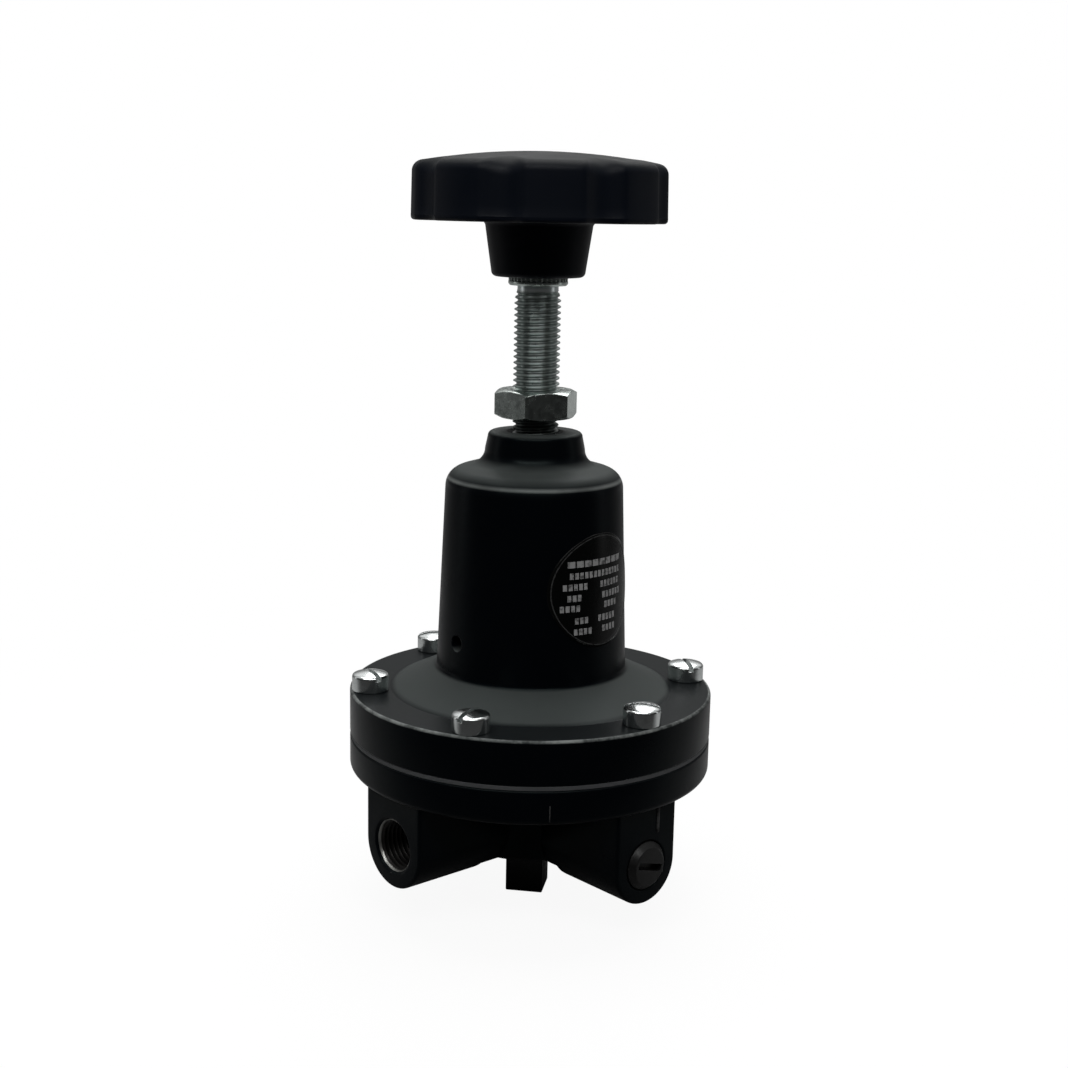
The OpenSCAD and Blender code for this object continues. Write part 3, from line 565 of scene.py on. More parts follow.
# The solids' own materials, seen on those that no finer piece below stands for
carried = {
    "body": PAINT, "bottom_plug": STEEL_BLACK, "bottom_plug_oring": RUBBER, "gauge_plug_front": STEEL_BLACK,
    "gauge_plug_rear": STEEL_BLACK, "valve_seat": BRASS, "seat_gasket": FIBRE, "valve_poppet": BRASS,
    "valve_pad": RUBBER, "valve_pin": ZINC, "valve_spring": SPRING, "diaphragm": RUBBER,
    "lower_diaphragm_plate": PRESSED, "upper_diaphragm_plate": PRESSED, "diaphragm_stem": BRASS,
    "diaphragm_nut": ZINC, "lower_spring_seat": PRESSED, "range_spring": SPRING, "spring_button": ZINC,
    "bonnet": PAINT, "bonnet_label": PAINT, "bonnet_screws": ZINC, "adjusting_screw": ZINC, "locknut": ZINC,
    "knob_insert": ZINC, "knob": KNOB}
for name, material in carried.items():
    node = frame["nodes"][name]
    node.data.materials.clear()
    node.data.materials.append(material)


# ---------------------------------------------------------------- knob
def knob():
    """The fluted knob with its hub below and a shallow dome on top, as one moulding."""
    knob_r, flutes, flute_r, flute_depth, blend = 32.1, 8, 8.0, 2.0, 0.45
    hub_r, hub_top_r, hub_round, hub_fillet, insert_r = 11.9, 13.5, 1.4, 1.2, 6.5
    draft, under_round, top_round, flute_top_round = 0.2, 0.9, 2.8, 2.1
    rim_top, crown_h = 191.3, 2.6
    flash_low, flash_step, flash = RIM_LOW + 1.02, 0.12, (0.0, 0.05, 0.11, 0.05, 0.0)
    crown_r = knob_r - draft - top_round
    dome_r = (crown_r ** 2 + crown_h ** 2) / (2 * crown_h)
    seg = flutes * 28

    def dome(r):
        return rim_top + crown_h - dome_r + math.sqrt(dome_r ** 2 - r ** 2)

    def rim(theta):
        """The rim's radius: the knob's circle and the nearest flute's, blended."""
        away = (theta - math.radians(FLUTE_TURN)) % (TAU / flutes)
        away = min(away, TAU / flutes - away)
        centre = knob_r + flute_r - flute_depth
        aside = centre * math.sin(away)
        hollow = centre * math.cos(away) - math.sqrt(max(flute_r ** 2 - aside ** 2, 0.0))
        r = -blend * math.log(math.exp(-hollow / blend) + math.exp(-knob_r / blend))
        return min(r, knob_r)

    def column(theta):
        """The outline (radius, height) at one angle, from the hub's foot over the rim to the dome's top."""
        big = rim(theta)
        out = [(0.0, HUB_LOW), (insert_r, HUB_LOW)]
        out += arc(hub_r - hub_round, HUB_LOW + hub_round, hub_round, 270, 360, 7)
        foot = hub_top_r + hub_fillet
        out += arc(foot, RIM_LOW - hub_fillet, hub_fillet, 180, 90, 6)
        out += [(foot + (big - under_round - foot) * s, RIM_LOW) for s in (0.3, 0.6, 0.85)]
        out += arc(big - under_round, RIM_LOW + under_round, under_round, 270, 360, 6)
        round_r = top_round + flute_top_round * (knob_r - big) / flute_depth
        top_r = big - draft - round_r
        side_top = dome(top_r) - round_r * 0.985
        out += [(big + min(bead, knob_r - big + 0.02), flash_low + flash_step * i)
                for i, bead in enumerate(flash)]
        side_low = out[-1][1]
        out += [(big - draft * s, side_low + (side_top - side_low) * s) for s in (0.25, 0.5, 0.75)]
        out += arc(top_r, side_top, round_r, 0, 80, 12)
        out += [(top_r * s, dome(top_r * s)) for s in (0.9, 0.78, 0.64, 0.5, 0.36, 0.22, 0.1, 0.0)]
        return out

    def standing(theta):
        return [(r * math.cos(theta), r * math.sin(theta), z) for r, z in column(theta)]

    rows = list(zip(*(standing(TAU * i / seg) for i in range(seg))))
    return make("knob_moulding", *rings(rows), 50)


dress(knob(), KNOB, "screw", ["knob"])


# ---------------------------------------------------------------- adjusting screw
def helix_grid(name, seg, per_pitch, pitch, low, high, radius, *ends):
    """A threaded surface whose mesh lines follow the helix. radius(share of the pitch, height) is in
    millimetres; ends are (radius, height) outlines of what is turned at either end."""
    count = per_pitch * (int((high - low) / pitch) + 3)
    verts = []
    for i in range(seg):
        theta = TAU * i / seg
        for j in range(-per_pitch, count):
            z = low + pitch * (j / per_pitch + theta / TAU)
            z = min(max(z, low), high)
            r = radius((j % per_pitch) / per_pitch, z)
            verts.append((r * math.cos(theta), r * math.sin(theta), z))
    rows = count + per_pitch
    faces = []
    for i in range(seg):
        k = (i + 1) % seg
        lift = per_pitch if k == 0 else 0
        for j in range(rows - 1 - lift):
            a = i * rows + j
            b = k * rows + j + lift
            faces.append((a, b, b + 1, a + 1))
    for profile in ends:
        base = len(verts)
        more_verts, more_faces = rings([[(x, y, z) for x, y in circle(r, seg)] for r, z in profile])
        verts += more_verts
        faces += [tuple(base + i for i in face) for face in more_faces]
    return make(name, verts, faces, 50)


def screw():
    """The adjusting screw: a true thread between a turned tip and a plain shank that ends in the knob."""
    major, depth, pitch = 5.93, 0.85, 1.5
    crest, flank = 0.04, 0.86
    shank, tip, tip_round, foot = 5.2, 4.0, 0.5, 4.9
    low, top, run_out = 107.43, THREAD_HIGH + 1.9, 0.26

    def radius(s, z):
        u = abs(s - 0.5) * 2
        r = major - depth * (0.5 - 0.5 * math.cos(math.pi * min(max((u - crest) / flank, 0.0), 1.0)))
        r = min(r, shank + max(top - z, 0.0) * run_out, foot + max(z - THREAD_LOW, 0.0))
        if z >= top:
            r = shank
        if z <= THREAD_LOW:
            r = foot
        return r

    tail = [(0, low), (tip - tip_round, low), (tip, low + tip_round), (tip, THREAD_LOW), (foot, THREAD_LOW)]
    head = [(shank, top), (shank, 178.0), (0, 178.0)]
    return helix_grid("adjusting_screw_thread", 96, 16, pitch, THREAD_LOW, top, radius, tail, head)


dress(screw(), ZINC_THREAD, "screw", ["adjusting_screw"])


# ---------------------------------------------------------------- body casting
def prism(name, outline, y0, y1):
    """A straight piece along Y with an outline of (x, z) points."""
    n = len(outline)
    verts = [(x, y0, z) for x, z in outline] + [(x, y1, z) for x, z in outline]
    faces = [tuple(range(n)), tuple(range(2 * n - 1, n - 1, -1))]
    faces += [(i, n + i, n + (i + 1) % n, (i + 1) % n) for i in range(n)]
    return make(name, verts, faces)


def arm(name, width, axis_z, reach, root):
    """One arm along +X with a round underside and a rounded end face."""
    top, edge, low = FLANGE_LOW + 1, 0.8, axis_z - width / 2
    sections = [(0.0, 0.0)] + [(reach - edge + dx, edge - dr) for dr, dx in arc(0, 0, edge, 0, 90, 6)]
    rows = []
    for x, inset in sections:
        r = width / 2 - inset
        rows.append([(x, r, top)] + [(x, y, z) for y, z in arc(0, axis_z, r, 0, -180, 40)] + [(x, -r, top)])
    verts, faces = rings(rows)
    n = len(rows[0])
    faces += [tuple(range(n)), tuple(range(len(verts) - n, len(verts)))]
    under = prism("under", [(-1, low - 2), (-1, BODY_LOW), (root, BODY_LOW)]
                  + arc(root + ROOT_ROUND, low + ROOT_ROUND, ROOT_ROUND, 180, 270, 8)
                  + [(root + ROOT_ROUND, low - 2)], -width, width)
    return cut(make(name, verts, faces), [under])


def along_x(reach, axis_z, side):
    """From a tool that points up to one that points out of an arm's end face."""
    return turn(side, "Z") @ mm(reach, 0, axis_z) @ turn(90, "Y")


def port_cutter(r, countersink):
    """A port's hole with a 45 degree countersink, pointing up from the arm's end face."""
    profile = [(0, -PORT_DEPTH), (r, -PORT_DEPTH), (r, -countersink), (r + countersink + 0.5, 0.5), (0, 0.5)]
    return lathe("port", profile, 96, False)


def body_casting():
    """The lower casting: flange, hub and four arms, with its ports, passages and bores."""
    low_round, joint_round, hub_round = 1.8, 0.5, 1
    valve_bore_r, valve_bore_top, seat_hole_r, plug_hole_r, plug_depth = 7.0, 31.0, 5.5, 8.2, 4.4
    passage_r, passage_z, inlet_start, outlet_start = 3.5, 23.9, 24, 5
    flange = [(0, FLANGE_LOW)] + arc(FLANGE_R - low_round, FLANGE_LOW + low_round, low_round, 270, 360, 8)
    flange += arc(FLANGE_R - joint_round, JOINT_LOW - joint_round, joint_round, 0, 90, 5)
    flange += [(CHAMBER_R, JOINT_LOW), (CHAMBER_R, CHAMBER_FLOOR), (0, CHAMBER_FLOOR)]
    casting = lathe("body_casting", flange, 192, False)
    hub = lathe("hub", [(0, BODY_LOW), (HUB_R - hub_round, BODY_LOW), (HUB_R, BODY_LOW + hub_round),
                        (HUB_R, FLANGE_LOW + 2), (0, FLANGE_LOW + 2)], 128, False)
    arms = []
    for side in (0, 180):
        main = arm("main_arm", MAIN_ARM_W, MAIN_PORT_Z, MAIN_REACH, MAIN_ROOT)
        gauge = arm("gauge_arm", GAUGE_ARM_W, GAUGE_PORT_Z, GAUGE_REACH, GAUGE_ROOT)
        arms += [place(main, turn(side, "Z")), place(gauge, turn(side + 90, "Z"))]
    cut(casting, [hub] + arms, "UNION")
    tools = [rod("valve_bore", valve_bore_r, BODY_LOW - 1, valve_bore_top),
             rod("seat_hole", seat_hole_r, valve_bore_top - 1, CHAMBER_FLOOR + 1),
             rod("plug_thread", plug_hole_r, BODY_LOW - 1, BODY_LOW + plug_depth)]
    for side, start in ((0, inlet_start), (180, outlet_start)):
        tools.append(place(port_cutter(PORT_BORE_R, 0.7), along_x(MAIN_REACH, MAIN_PORT_Z, side)))
        tools.append(place(port_cutter(PORT_R, 0.5), along_x(GAUGE_REACH, GAUGE_PORT_Z, side + 90)))
        passage = rod("passage", passage_r, start, MAIN_REACH - PORT_DEPTH + 1)
        tools.append(place(passage, along_x(0, passage_z, side)))
    return cut(casting, tools + screw_holes(TAPPED_R, 37, JOINT_LOW + 1))


def small_marks():
    """The rib on the front gauge arm, and the thin casting line on the flange below the joint."""
    def ridge(name, r, low, high):
        return lathe(name, arc(0, low + r, r, 270, 360, 4) + arc(0, high - r, r, 0, 90, 4), 16, False)
    rib_aside, line_turn, line_sunk = 3.7, -125.2, 0.08
    rib = ridge("casting_rib", 0.42, FLANGE_LOW - 7.2, FLANGE_LOW + 0.2)
    line = ridge("casting_line", 0.16, FLANGE_LOW + 1.2, FLANGE_LOW + 5.4)
    return [place(rib, mm(rib_aside, -GAUGE_REACH, 0)),
            place(line, turn(line_turn, "Z") @ mm(FLANGE_R - line_sunk, 0, 0))]


def port_thread(side):
    """The cut thread of a main port, as a sleeve in the casting."""
    crest, depth, outer, pitch = PORT_R - 0.45, 0.75, PORT_R + 0.7, 1.34
    deep, mouth = PORT_DEPTH - 0.2, 1.05

    def radius(s, z):
        u = abs(s - 0.5) * 2
        r = crest + depth * min(max((u - 0.12) / 0.7, 0.0), 1.0)
        r = max(r, PORT_BORE_R + mouth + z)
        if z <= -deep or z >= -mouth:
            r = PORT_BORE_R
        return r

    closing = [(PORT_BORE_R, -deep), (outer, -deep), (outer, -mouth), (PORT_BORE_R, -mouth)]
    ob = helix_grid("port_thread", 96, 12, pitch, -deep, -mouth, radius, closing)
    return place(ob, along_x(MAIN_REACH, MAIN_PORT_Z, side))


def port_lip(side):
    """The bare ring where the cut thread meets the countersink."""
    section = [(0.1, -1.12), (0.55, -1.12), (0.55, -0.58), (0.48, -0.54), (0.22, -0.76)]
    ring = [(PORT_R + r, z) for r, z in section]
    return place(lathe("port_lip", ring, 96), along_x(MAIN_REACH, MAIN_PORT_Z, side))


dress(body_casting(), PAINT, "housing", ["body"])
# The rib and the casting line are paler: scuffed paint and a painted highlight along the ridges.
for mark in small_marks():
    dress(mark, SCUFFED_AND_HIGHLIGHT, "housing", ["body"])
for side in (0, 180):
    dress(port_thread(side), PORT_PAINT_AND_SHADE, "housing", ["body"])
    dress(port_lip(side), BARE, "housing", ["body"])


# ---------------------------------------------------------------- plugs
def gauge_plug(side):
    """A slotted plug whose low round face stands out of a gauge port."""
    r, depth, face_r, out, edge = PORT_R - 0.02, 8.5, 5.0, 1.4, 0.3
    slot_w, slot_l, slot_depth = 1.8, 8.2, 2
    profile = [(0, -depth), (r, -depth), (r, 0.0)]
    profile += arc(face_r - edge + 0.05, out - edge, edge, 40, 90, 5) + [(0, out)]
    ob = lathe("gauge_plug", profile, 96, False, 30)
    slot = box_between("slot", (-slot_w / 2, -slot_l / 2, out - slot_depth), (slot_w / 2, slot_l / 2, 3))
    cut(ob, [place(slot, turn(GAUGE_PLUG_TURN, "Z"))], sharp=30)
    return place(ob, along_x(GAUGE_REACH, GAUGE_PORT_Z, side))


def soft_box(name, low, high, edge):
    """A box with rounded edges."""
    ob = box_between(name, low, high)
    bm = bmesh.new()
    bm.from_mesh(ob.data)
    bmesh.ops.bevel(bm, geom=bm.edges[:], offset=edge * MM, segments=3, profile=0.5, affect="EDGES")
    bm.to_mesh(ob.data)
    bm.free()
    smooth(ob, 50)
    return ob


def bottom_plug():
    """The plug under the valve: a square head, a thread, an O-ring groove and the valve spring's pocket."""
    half, head_edge, thread_r, groove_r, collar_r, pocket_r = 4.95, 0.35, 8.18, 5.9, 6.95, 2.45
    groove_low, groove_high, top, pocket_low = 18.77, 20.15, 20.4, 15.5
    head = soft_box("bottom_plug_square", (-half, -half, 0), (half, half, BODY_LOW + 1), head_edge)
    outline = [(0, BODY_LOW), (thread_r, BODY_LOW), (thread_r, groove_low), (groove_r, groove_low),
               (groove_r, groove_high), (collar_r, groove_high), (collar_r, top), (pocket_r, top),
               (pocket_r, pocket_low), (0, pocket_low)]
    return cut(place(head, turn(BOTTOM_PLUG_TURN, "Z")), [lathe("plug_thread", outline, 96, False)], "UNION")


dress(gauge_plug(-90), STEEL_BLACK, "housing", ["gauge_plug_front"])
dress(gauge_plug(90), STEEL_BLACK, "housing", ["gauge_plug_rear"])
dress(bottom_plug(), STEEL_BLACK, "housing", ["bottom_plug"])


# ---------------------------------------------------------------- bonnet
def bonnet_shell():
    """The spring housing: flange, cone, barrel, shoulder and boss in one casting, open below."""
    rim_round, joint_round, cone_r, cone_round, bore_r, bore_round = 0.75, 0.3, 36.5, 0.6, 19.4, 3
    shoulder, boss_foot_r, boss_fillet, boss_top_r, boss_round, countersink = 5.0, 12.85, 4.3, 12.2, 1.3, 1.4
    thread_low, bore_top, chamber_h, vent_r, vent_rise = 111.0, 111.0, 6, 2.1, 8.9
    outer = arc(FLANGE_R - joint_round, JOINT_HIGH + joint_round, joint_round, 270, 360, 4)
    outer += arc(FLANGE_R - rim_round, FLANGE_TOP - rim_round, rim_round, 0, 90, 8)
    outer += arc(cone_r + cone_round, FLANGE_TOP + cone_round, cone_round, 270, 243, 3)
    outer += arc(BARREL_FOOT_R + CONE_FILLET, BARREL_LOW, CONE_FILLET, 243, 180, 10)
    for share in (0.25, 0.5, 0.75):
        z = BARREL_LOW + (BARREL_TOP - BARREL_LOW) * share
        outer.append((barrel_r(z), z))
    outer += arc(BARREL_TOP_R - shoulder, BARREL_TOP, shoulder, 0, 74, 16)
    boss_foot = BARREL_TOP + shoulder + 0.6
    outer += arc(boss_foot_r + boss_fillet, boss_foot + boss_fillet, boss_fillet, 258, 180, 14)
    outer += arc(boss_top_r - boss_round, BOSS_TOP - boss_round, boss_round, 0, 90, 8)
    inner = [(THREAD_HOLE_R + countersink, BOSS_TOP), (THREAD_HOLE_R, BOSS_TOP - countersink),
             (THREAD_HOLE_R, thread_low)]
    inner += arc(bore_r - bore_round, bore_top - bore_round, bore_round, 90, 0, 6)
    inner += [(bore_r, CONE_TOP - 2), (CHAMBER_R, JOINT_HIGH + chamber_h), (CHAMBER_R, JOINT_HIGH)]
    shell = lathe("bonnet_shell", outer + inner, 192)
    vent = place(rod("vent", vent_r, 10, FLANGE_R),
                 mm(0, 0, CONE_TOP + vent_rise) @ turn(VENT_TURN, "Z") @ turn(-90, "Y"))
    return cut(shell, [vent] + screw_holes(CLEARANCE_R, JOINT_HIGH - 1, FLANGE_TOP + 1))


dress(bonnet_shell(), PAINT, "housing", ["bonnet"])


# ---------------------------------------------------------------- label
PRINT_LOW = LABEL_T - 0.02
PRINT_HIGH = LABEL_T + 0.03


def on_label(u, v, lift):
    """A point over the barrel, u to the right of the label's centre and v up from it."""
    r = barrel_r(LABEL_Z + v) + lift
    phi = math.asin(u / r) + math.radians(LABEL_TURN - 90)
    return r * math.cos(phi), r * math.sin(phi), LABEL_Z + v


def label_rows(section, seg):
    """Rows of points round the label's centre from (radius, lift) points."""
    return [[on_label(u, v, lift) for u, v in circle(r, seg)] for r, lift in section]


def label_disc():
    """The film itself, with a slightly bevelled edge."""
    centre, bevel = 0.001, 0.1
    section = [(centre, 0.0)] + [(LABEL_R * share, 0.0) for share in (0.4, 0.8)]
    section += [(LABEL_R, 0.0), (LABEL_R, LABEL_T - bevel), (LABEL_R - bevel, LABEL_T)]
    section += [(LABEL_R * share, LABEL_T) for share in (0.9, 0.75, 0.6, 0.45, 0.3, 0.15)]
    section.append((centre, LABEL_T))
    return make("label_disc", *rings(label_rows(section, 96)), 50)


def label_ring():
    """A thin printed ring near the label's edge."""
    inside, outside = 13.75, 14.0
    section = [(inside, PRINT_LOW), (inside, PRINT_HIGH), (outside, PRINT_HIGH), (outside, PRINT_LOW)]
    return make("label_ring", *rings(label_rows(section, 128), True), 50)


def label_bars():
    """Rows of plain printed blocks, each given by its height, its blocks' width and the spans it fills."""
    gap, half, wide, narrow = 0.42, 0.8, 1.9, 0.95
    lines = [(7.3, wide, [(-10.0, 8.6)]), (4.4, narrow, [(-9.5, 8.6)]),
             (1.6, narrow, [(-11.2, -3.5), (-0.5, 8.6)]), (-1.2, narrow, [(-10.2, -6.3), (0.2, 8.6)]),
             (-3.8, narrow, [(-12.0, -5.7), (1.0, 7.4)]), (-7.0, narrow, [(-8.3, -3.5), (-1.2, 6.3)]),
             (-9.8, narrow, [(-8.6, -3.0), (0.2, 5.3)])]
    section = [(-half, PRINT_LOW), (-half, PRINT_HIGH), (half, PRINT_HIGH), (half, PRINT_LOW)]
    verts, faces = [], []
    for v, width, spans in lines:
        for start, stop in spans:
            u = start
            while u + width <= stop + 0.01:
                base = len(verts)
                rows = [[on_label(u + width * i / 2, v + dv, lift) for dv, lift in section] for i in range(3)]
                block_verts, block_faces = rings(rows)
                block_faces += [(0, 1, 2, 3), (8, 9, 10, 11)]
                verts += block_verts
                faces += [tuple(base + i for i in face) for face in block_faces]
                u += width + gap
    return make("label_bars", verts, faces, 50)


dress(label_disc(), LABEL, "housing", ["bonnet_label"])
dress(label_ring(), FAINT_PRINT, "housing", ["bonnet_label"])
dress(label_bars(), PRINT, "housing", ["bonnet_label"])


# ---------------------------------------------------------------- fasteners
def copies(name, ob, matrices):
    """One mesh of a piece repeated at several places; the piece itself is gone."""
    bm = bmesh.new()
    for matrix in matrices:
        me = ob.data.copy()
        me.transform(matrix)
        bm.from_mesh(me)
        bpy.data.meshes.remove(me)
    me = bpy.data.meshes.new(name)
    bm.to_mesh(me)
    bm.free()
    bpy.data.objects.remove(ob)
    new = bpy.data.objects.new(name, me)
    scene.collection.objects.link(new)
    smooth(new)
    return new


def flange_screws():
    """Six slotted screws with crowned heads, each slot at its own angle."""
    head_r, head_h, edge, lead = 4.75, 4.5, 0.9, 0.2
    crown, crown_r, slot_w, slot_depth = 0.65, 4.1, 1.3, 2.0
    shank_r, shank_l, tip_r, tip_bevel = 2.5, 18, 2.1, 0.5
    profile = [(0, -shank_l), (tip_r, -shank_l), (shank_r, tip_bevel - shank_l), (shank_r, 0),
               (head_r - lead, 0), (head_r, lead)]
    profile += arc(head_r - edge, head_h - edge, edge, 0, 62, 7)
    profile += [(r, head_h - 0.02 + crown * (1 - (r / crown_r) ** 2))
                for r in (3.9, 3.4, 2.8, 2.1, 1.4, 0.7, 0.0)]
    one = lathe("flange_screw", profile, 72, False)
    crown_top = head_h + crown
    cut(one, [box_between("slot", (-6, -slot_w / 2, crown_top - slot_depth), (6, slot_w / 2, crown_top + 1))])
    places = [spot @ turn(SLOT_TURN + SLOT_STEP * i, "Z") for i, spot in enumerate(screw_places(FLANGE_TOP))]
    return copies("flange_screws", one, places)


def locknut():
    """A hexagon nut with both faces chamfered, and its bore countersunk."""
    flats, height, lift, lead, deep_lead = 19.0, 7.0, 3.7, 1.6, 0.6
    half = flats / 2
    corner = half / math.cos(math.radians(30))
    drop = (corner - half) * math.tan(math.radians(30))
    hexagon = turned("locknut_hexagon", 6, [0, height], lambda theta: corner)
    chamfer = [(0, 0), (half - 0.2, 0), (corner + 0.05, drop + 0.03), (corner + 0.05, height - drop - 0.03),
               (half - 0.2, height), (0, height)]
    cut(hexagon, [lathe("locknut_round", chamfer, 180, False)], "INTERSECT")
    wide = THREAD_HOLE_R + lead
    hole = [(0, -1), (wide, -1), (THREAD_HOLE_R, deep_lead), (THREAD_HOLE_R, height - deep_lead),
            (wide, height + 1), (0, height + 1)]
    cut(hexagon, [lathe("locknut_hole", hole, 96, False)])
    return place(hexagon, mm(0, 0, BOSS_TOP + lift) @ turn(LOCKNUT_TURN, "Z"))


def knob_insert():
    """The insert moulded into the knob, with its toothed collar."""
    low, high = HUB_LOW - 2.1, HUB_LOW + 15.9
    bore_r, stem_r, collar_r, collar_bevel, collar_top = 5.22, 6.5, 7.55, 0.4, low + 1.15
    teeth, root_r, tooth_h = 36, 6.95, 0.55
    ring = [(bore_r, low), (collar_r - collar_bevel, low), (collar_r, low + 0.45), (collar_r, low + 1.0),
            (collar_r - 0.2, collar_top), (stem_r, collar_top), (stem_r, high), (bore_r, high)]
    insert = lathe("knob_insert", ring, 120)

    def radius(theta):
        share = (theta * teeth / TAU) % 1.0
        return root_r + tooth_h * min(max(3.2 * (0.5 - abs(share - 0.5)) - 0.25, 0.0), 1.0)

    crown = turned("collar_teeth", teeth * 8, [low + 1.1, low + 1.6, HUB_LOW], radius)
    cut(crown, [rod("collar_bore", bore_r, low, HUB_LOW + 1, 120)])
    return [insert, crown]


dress(flange_screws(), SCREW_ZINC, "housing", ["bonnet_screws"])
dress(locknut(), ZINC, "nut", ["locknut"])
for piece in knob_insert():
    dress(piece, ZINC, "screw", ["knob_insert"])


# ---------------------------------------------------------------- springs and diaphragm
def coil(name, low, high, wire, mean_d, turns, per_turn=40):
    """A compression spring with one closed turn at each end."""
    closed, clear = wire * 1.04, 0.03
    first = low + wire / 2 + clear
    rise = (high - low - wire - 2 * clear - 2 * closed) / (turns - 2)
    path = []
    for i in range(int(turns * per_turn) + 1):
        t = i / per_turn
        z = first + closed * min(t, 1) + rise * max(0, min(t - 1, turns - 2)) + closed * max(0, t - turns + 1)
        path.append((mean_d / 2 * math.cos(TAU * t), mean_d / 2 * math.sin(TAU * t), z))
    return swept(name, path, wire)


def diaphragm():
    """The rubber sheet, raised in the middle and clamped at the rim, with holes for the screws."""
    stem_r, thick, low_bend, high_bend, low_curl, high_curl = 3.02, 1.2, 1.3, 1.7, 1.9, 1.7
    middle_r, trough_r, rim_r, edge = 26.6, 33.2, 47.35, 0.15
    high = SHEET_LOW + thick
    low_side = [(stem_r, SHEET_LOW), (middle_r, SHEET_LOW)]
    low_side += arc(middle_r, SHEET_LOW - low_bend, low_bend, 90, 35, 4)
    low_side += arc(trough_r, JOINT_LOW + low_curl, low_curl, 225, 270, 4)
    rim = [(40.0, JOINT_LOW), (rim_r - edge, JOINT_LOW), (rim_r, JOINT_LOW + edge),
           (rim_r, JOINT_HIGH - edge), (rim_r - edge, JOINT_HIGH), (40.0, JOINT_HIGH)]
    high_side = arc(trough_r + 0.2, JOINT_HIGH + high_curl, high_curl, 270, 228, 4)
    high_side += arc(middle_r + 0.4, high - high_bend, high_bend, 35, 90, 4) + [(stem_r, high)]
    sheet = lathe("diaphragm_sheet", low_side + rim + high_side)
    return cut(sheet, screw_holes(CLEARANCE_R, JOINT_LOW - 1, JOINT_HIGH + 0.8))


range_coil = coil("range_coil", RANGE_SPRING_LOW, RANGE_SPRING_HIGH, wire=4.4, mean_d=31.0, turns=6.5)
spring = dress(range_coil, SPRING, "diaphragm_stack", ["range_spring"])
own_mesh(spring)
valve_coil = coil("valve_coil", VALVE_SPRING_LOW, VALVE_SPRING_HIGH, wire=0.8, mean_d=7.6, turns=3,
                  per_turn=32)
small = dress(valve_coil, SPRING, "housing", ["valve_spring"])
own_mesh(small)
sheet = dress(diaphragm(), SHEET_RUBBER, None, ["diaphragm"])
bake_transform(sheet)


# ---------------------------------------------------------------- camera
HEADING = math.radians(41.5)
AHEAD = Vector((math.sin(HEADING), math.cos(HEADING), 0))
ASIDE = Vector((AHEAD.y, -AHEAD.x, 0))


def camera():
    """The photograph's view: low and close, a little pitched and rolled."""
    distance, height, pan, pitch, roll, focal = 0.41587, 0.18078, 0.0004, 0.1988, 0.0192, 55.03
    data = bpy.data.cameras.new("camera")
    data.sensor_width = 36.0
    data.lens = focal
    data.clip_start = 0.01
    data.clip_end = 20.0
    ob = bpy.data.objects.new("camera", data)
    scene.collection.objects.link(ob)
    level = math.cos(pan) * AHEAD + math.sin(pan) * ASIDE
    forward = math.cos(pitch) * level - Vector((0, 0, math.sin(pitch)))
    right = math.cos(pan) * ASIDE - math.sin(pan) * AHEAD
    tilted = math.cos(roll) * right + math.sin(roll) * right.cross(forward)
    basis = Matrix((tilted, tilted.cross(forward), -forward)).transposed().to_4x4()
    basis.translation = Vector((0, 0, height)) - distance * AHEAD
    ob.matrix_world = basis
    scene.camera = ob


# ---------------------------------------------------------------- stage and light
def softbox(name, aside, ahead, up, size, power):
    """A soft lamp placed from the camera's side, in metres, and turned to the object's middle."""
    data = bpy.data.lights.new(name, "AREA")
    data.shape = "RECTANGLE"
    data.size, data.size_y = size
    data.energy = power
    ob = bpy.data.objects.new(name, data)
    scene.collection.objects.link(ob)
    ob.location = ASIDE * aside + AHEAD * ahead + Vector((0, 0, up))
    ob.rotation_euler = (Vector((0, 0, 0.1)) - ob.location).to_track_quat("-Z", "Y").to_euler()


def floor():
    """A pale sheet that the lens sees as white with a faint shadow, and that ends in front of the object."""
    n = Nodes("pale_floor")
    seen = n.add("ShaderNodeLightPath").outputs["Is Camera Ray"]
    glossy = n.add("ShaderNodeLightPath").outputs["Is Glossy Ray"]
    dot = n.add("ShaderNodeVectorMath", operation="DOT_PRODUCT")
    n.link(n.coord, dot.inputs[0])
    dot.inputs[1].default_value = AHEAD
    behind = dot.outputs["Value"]
    away = n.length(n.coord)
    sheet = n.times(n.spread(behind, -0.12, 0.0, 0.03, 0.28), n.spread(away, 0.25, 0.7, 1.0, 0.3))
    n.set(base=n.math("MAXIMUM", sheet, n.times(seen, 0.8)), roughness=0.8, specular=0.05)
    white_out = n.times(seen, n.spread(away, 0.1, 0.32, 0.93, 1.0))
    shine = n.times(glossy, n.spread(behind, 0.45, 0.95, 0.0, 0.42))
    glow = n.add("ShaderNodeEmission")
    glow.inputs["Strength"].default_value = 1.0
    mixer = n.add("ShaderNodeMixShader")
    n.link(n.math("MAXIMUM", white_out, shine), mixer.inputs[0])
    n.link(n.shader.outputs[0], mixer.inputs[1])
    n.link(glow.outputs[0], mixer.inputs[2])
    n.link(mixer.outputs[0], n.tree.nodes["Material Output"].inputs["Surface"])
    ob = lathe("floor_disc", [(0, -0.01), (3000, -0.01)], 64, False)
    ob.data.materials.append(n.mat)


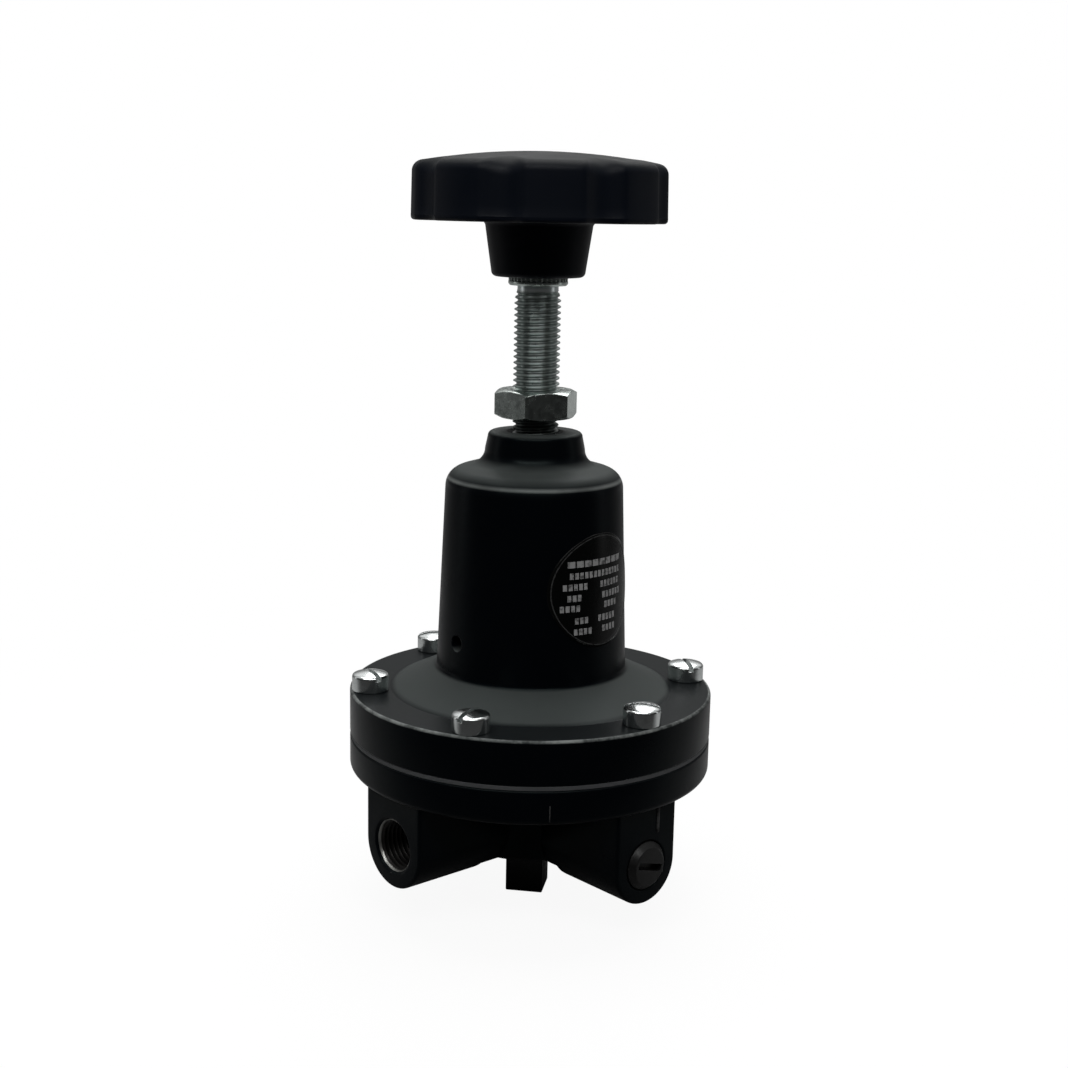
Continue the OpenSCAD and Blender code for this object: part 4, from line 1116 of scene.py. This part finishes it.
def world():
    """A white backdrop behind the object, light from above, and a dim room in front."""
    w = bpy.data.worlds.new("studio")
    scene.world = w
    w.use_nodes = True
    tree = w.node_tree
    link = tree.links.new

    def node(kind, **values):
        made = tree.nodes.new(kind)
        for key, value in values.items():
            setattr(made, key, value)
        return made

    def smooth_step(value, low, high, top):
        step = node("ShaderNodeMapRange", interpolation_type="SMOOTHSTEP")
        for key, number in (("From Min", low), ("From Max", high), ("To Min", 0.0), ("To Max", top)):
            step.inputs[key].default_value = number
        link(value, step.inputs["Value"])
        return step.outputs["Result"]

    def combine(operation, a, b):
        made = node("ShaderNodeMath", operation=operation)
        for socket, value in zip(made.inputs, (a, b)):
            if isinstance(value, float):
                socket.default_value = value
            else:
                link(value, socket)
        return made.outputs[0]

    way = node("ShaderNodeTexCoord").outputs["Generated"]
    dot = node("ShaderNodeVectorMath", operation="DOT_PRODUCT")
    link(way, dot.inputs[0])
    dot.inputs[1].default_value = AHEAD
    split = node("ShaderNodeSeparateXYZ")
    link(way, split.inputs[0])
    behind = smooth_step(dot.outputs["Value"], 0.15, 0.85, 1.0)
    behind = combine("MULTIPLY", behind, combine("ADD", smooth_step(split.outputs["Z"], 0.2, 0.6, 0.8), 0.18))
    above = smooth_step(split.outputs["Z"], 0.35, 0.95, 0.8)
    light = node("ShaderNodeLightPath")
    seen = combine("MAXIMUM", light.outputs["Is Camera Ray"], light.outputs["Is Transmission Ray"])
    seen = combine("MAXIMUM", seen, combine("MULTIPLY", light.outputs["Is Glossy Ray"], behind))
    room = combine("ADD", combine("MULTIPLY", combine("MAXIMUM", behind, above), 0.75), 0.04)
    link(combine("MAXIMUM", room, seen), tree.nodes["Background"].inputs["Strength"])
    tree.nodes["Background"].inputs["Color"].default_value = (1, 1, 1, 1)


camera()
floor()
world()
softbox("back_softbox", 0.05, 0.42, 0.62, (0.4, 0.4), 1.6)
softbox("overhead_softbox", 0.0, 0.12, 0.8, (0.8, 0.4), 4.0)
softbox("front_softbox", -0.05, -0.5, 0.62, (0.9, 0.12), 2.8)
softbox("left_strip", -0.6, 0.1, 0.25, (0.14, 0.6), 0.19)
softbox("right_strip", 0.6, 0.05, 0.25, (0.14, 0.6), 0.16)
scene.view_settings.view_transform = "Standard"
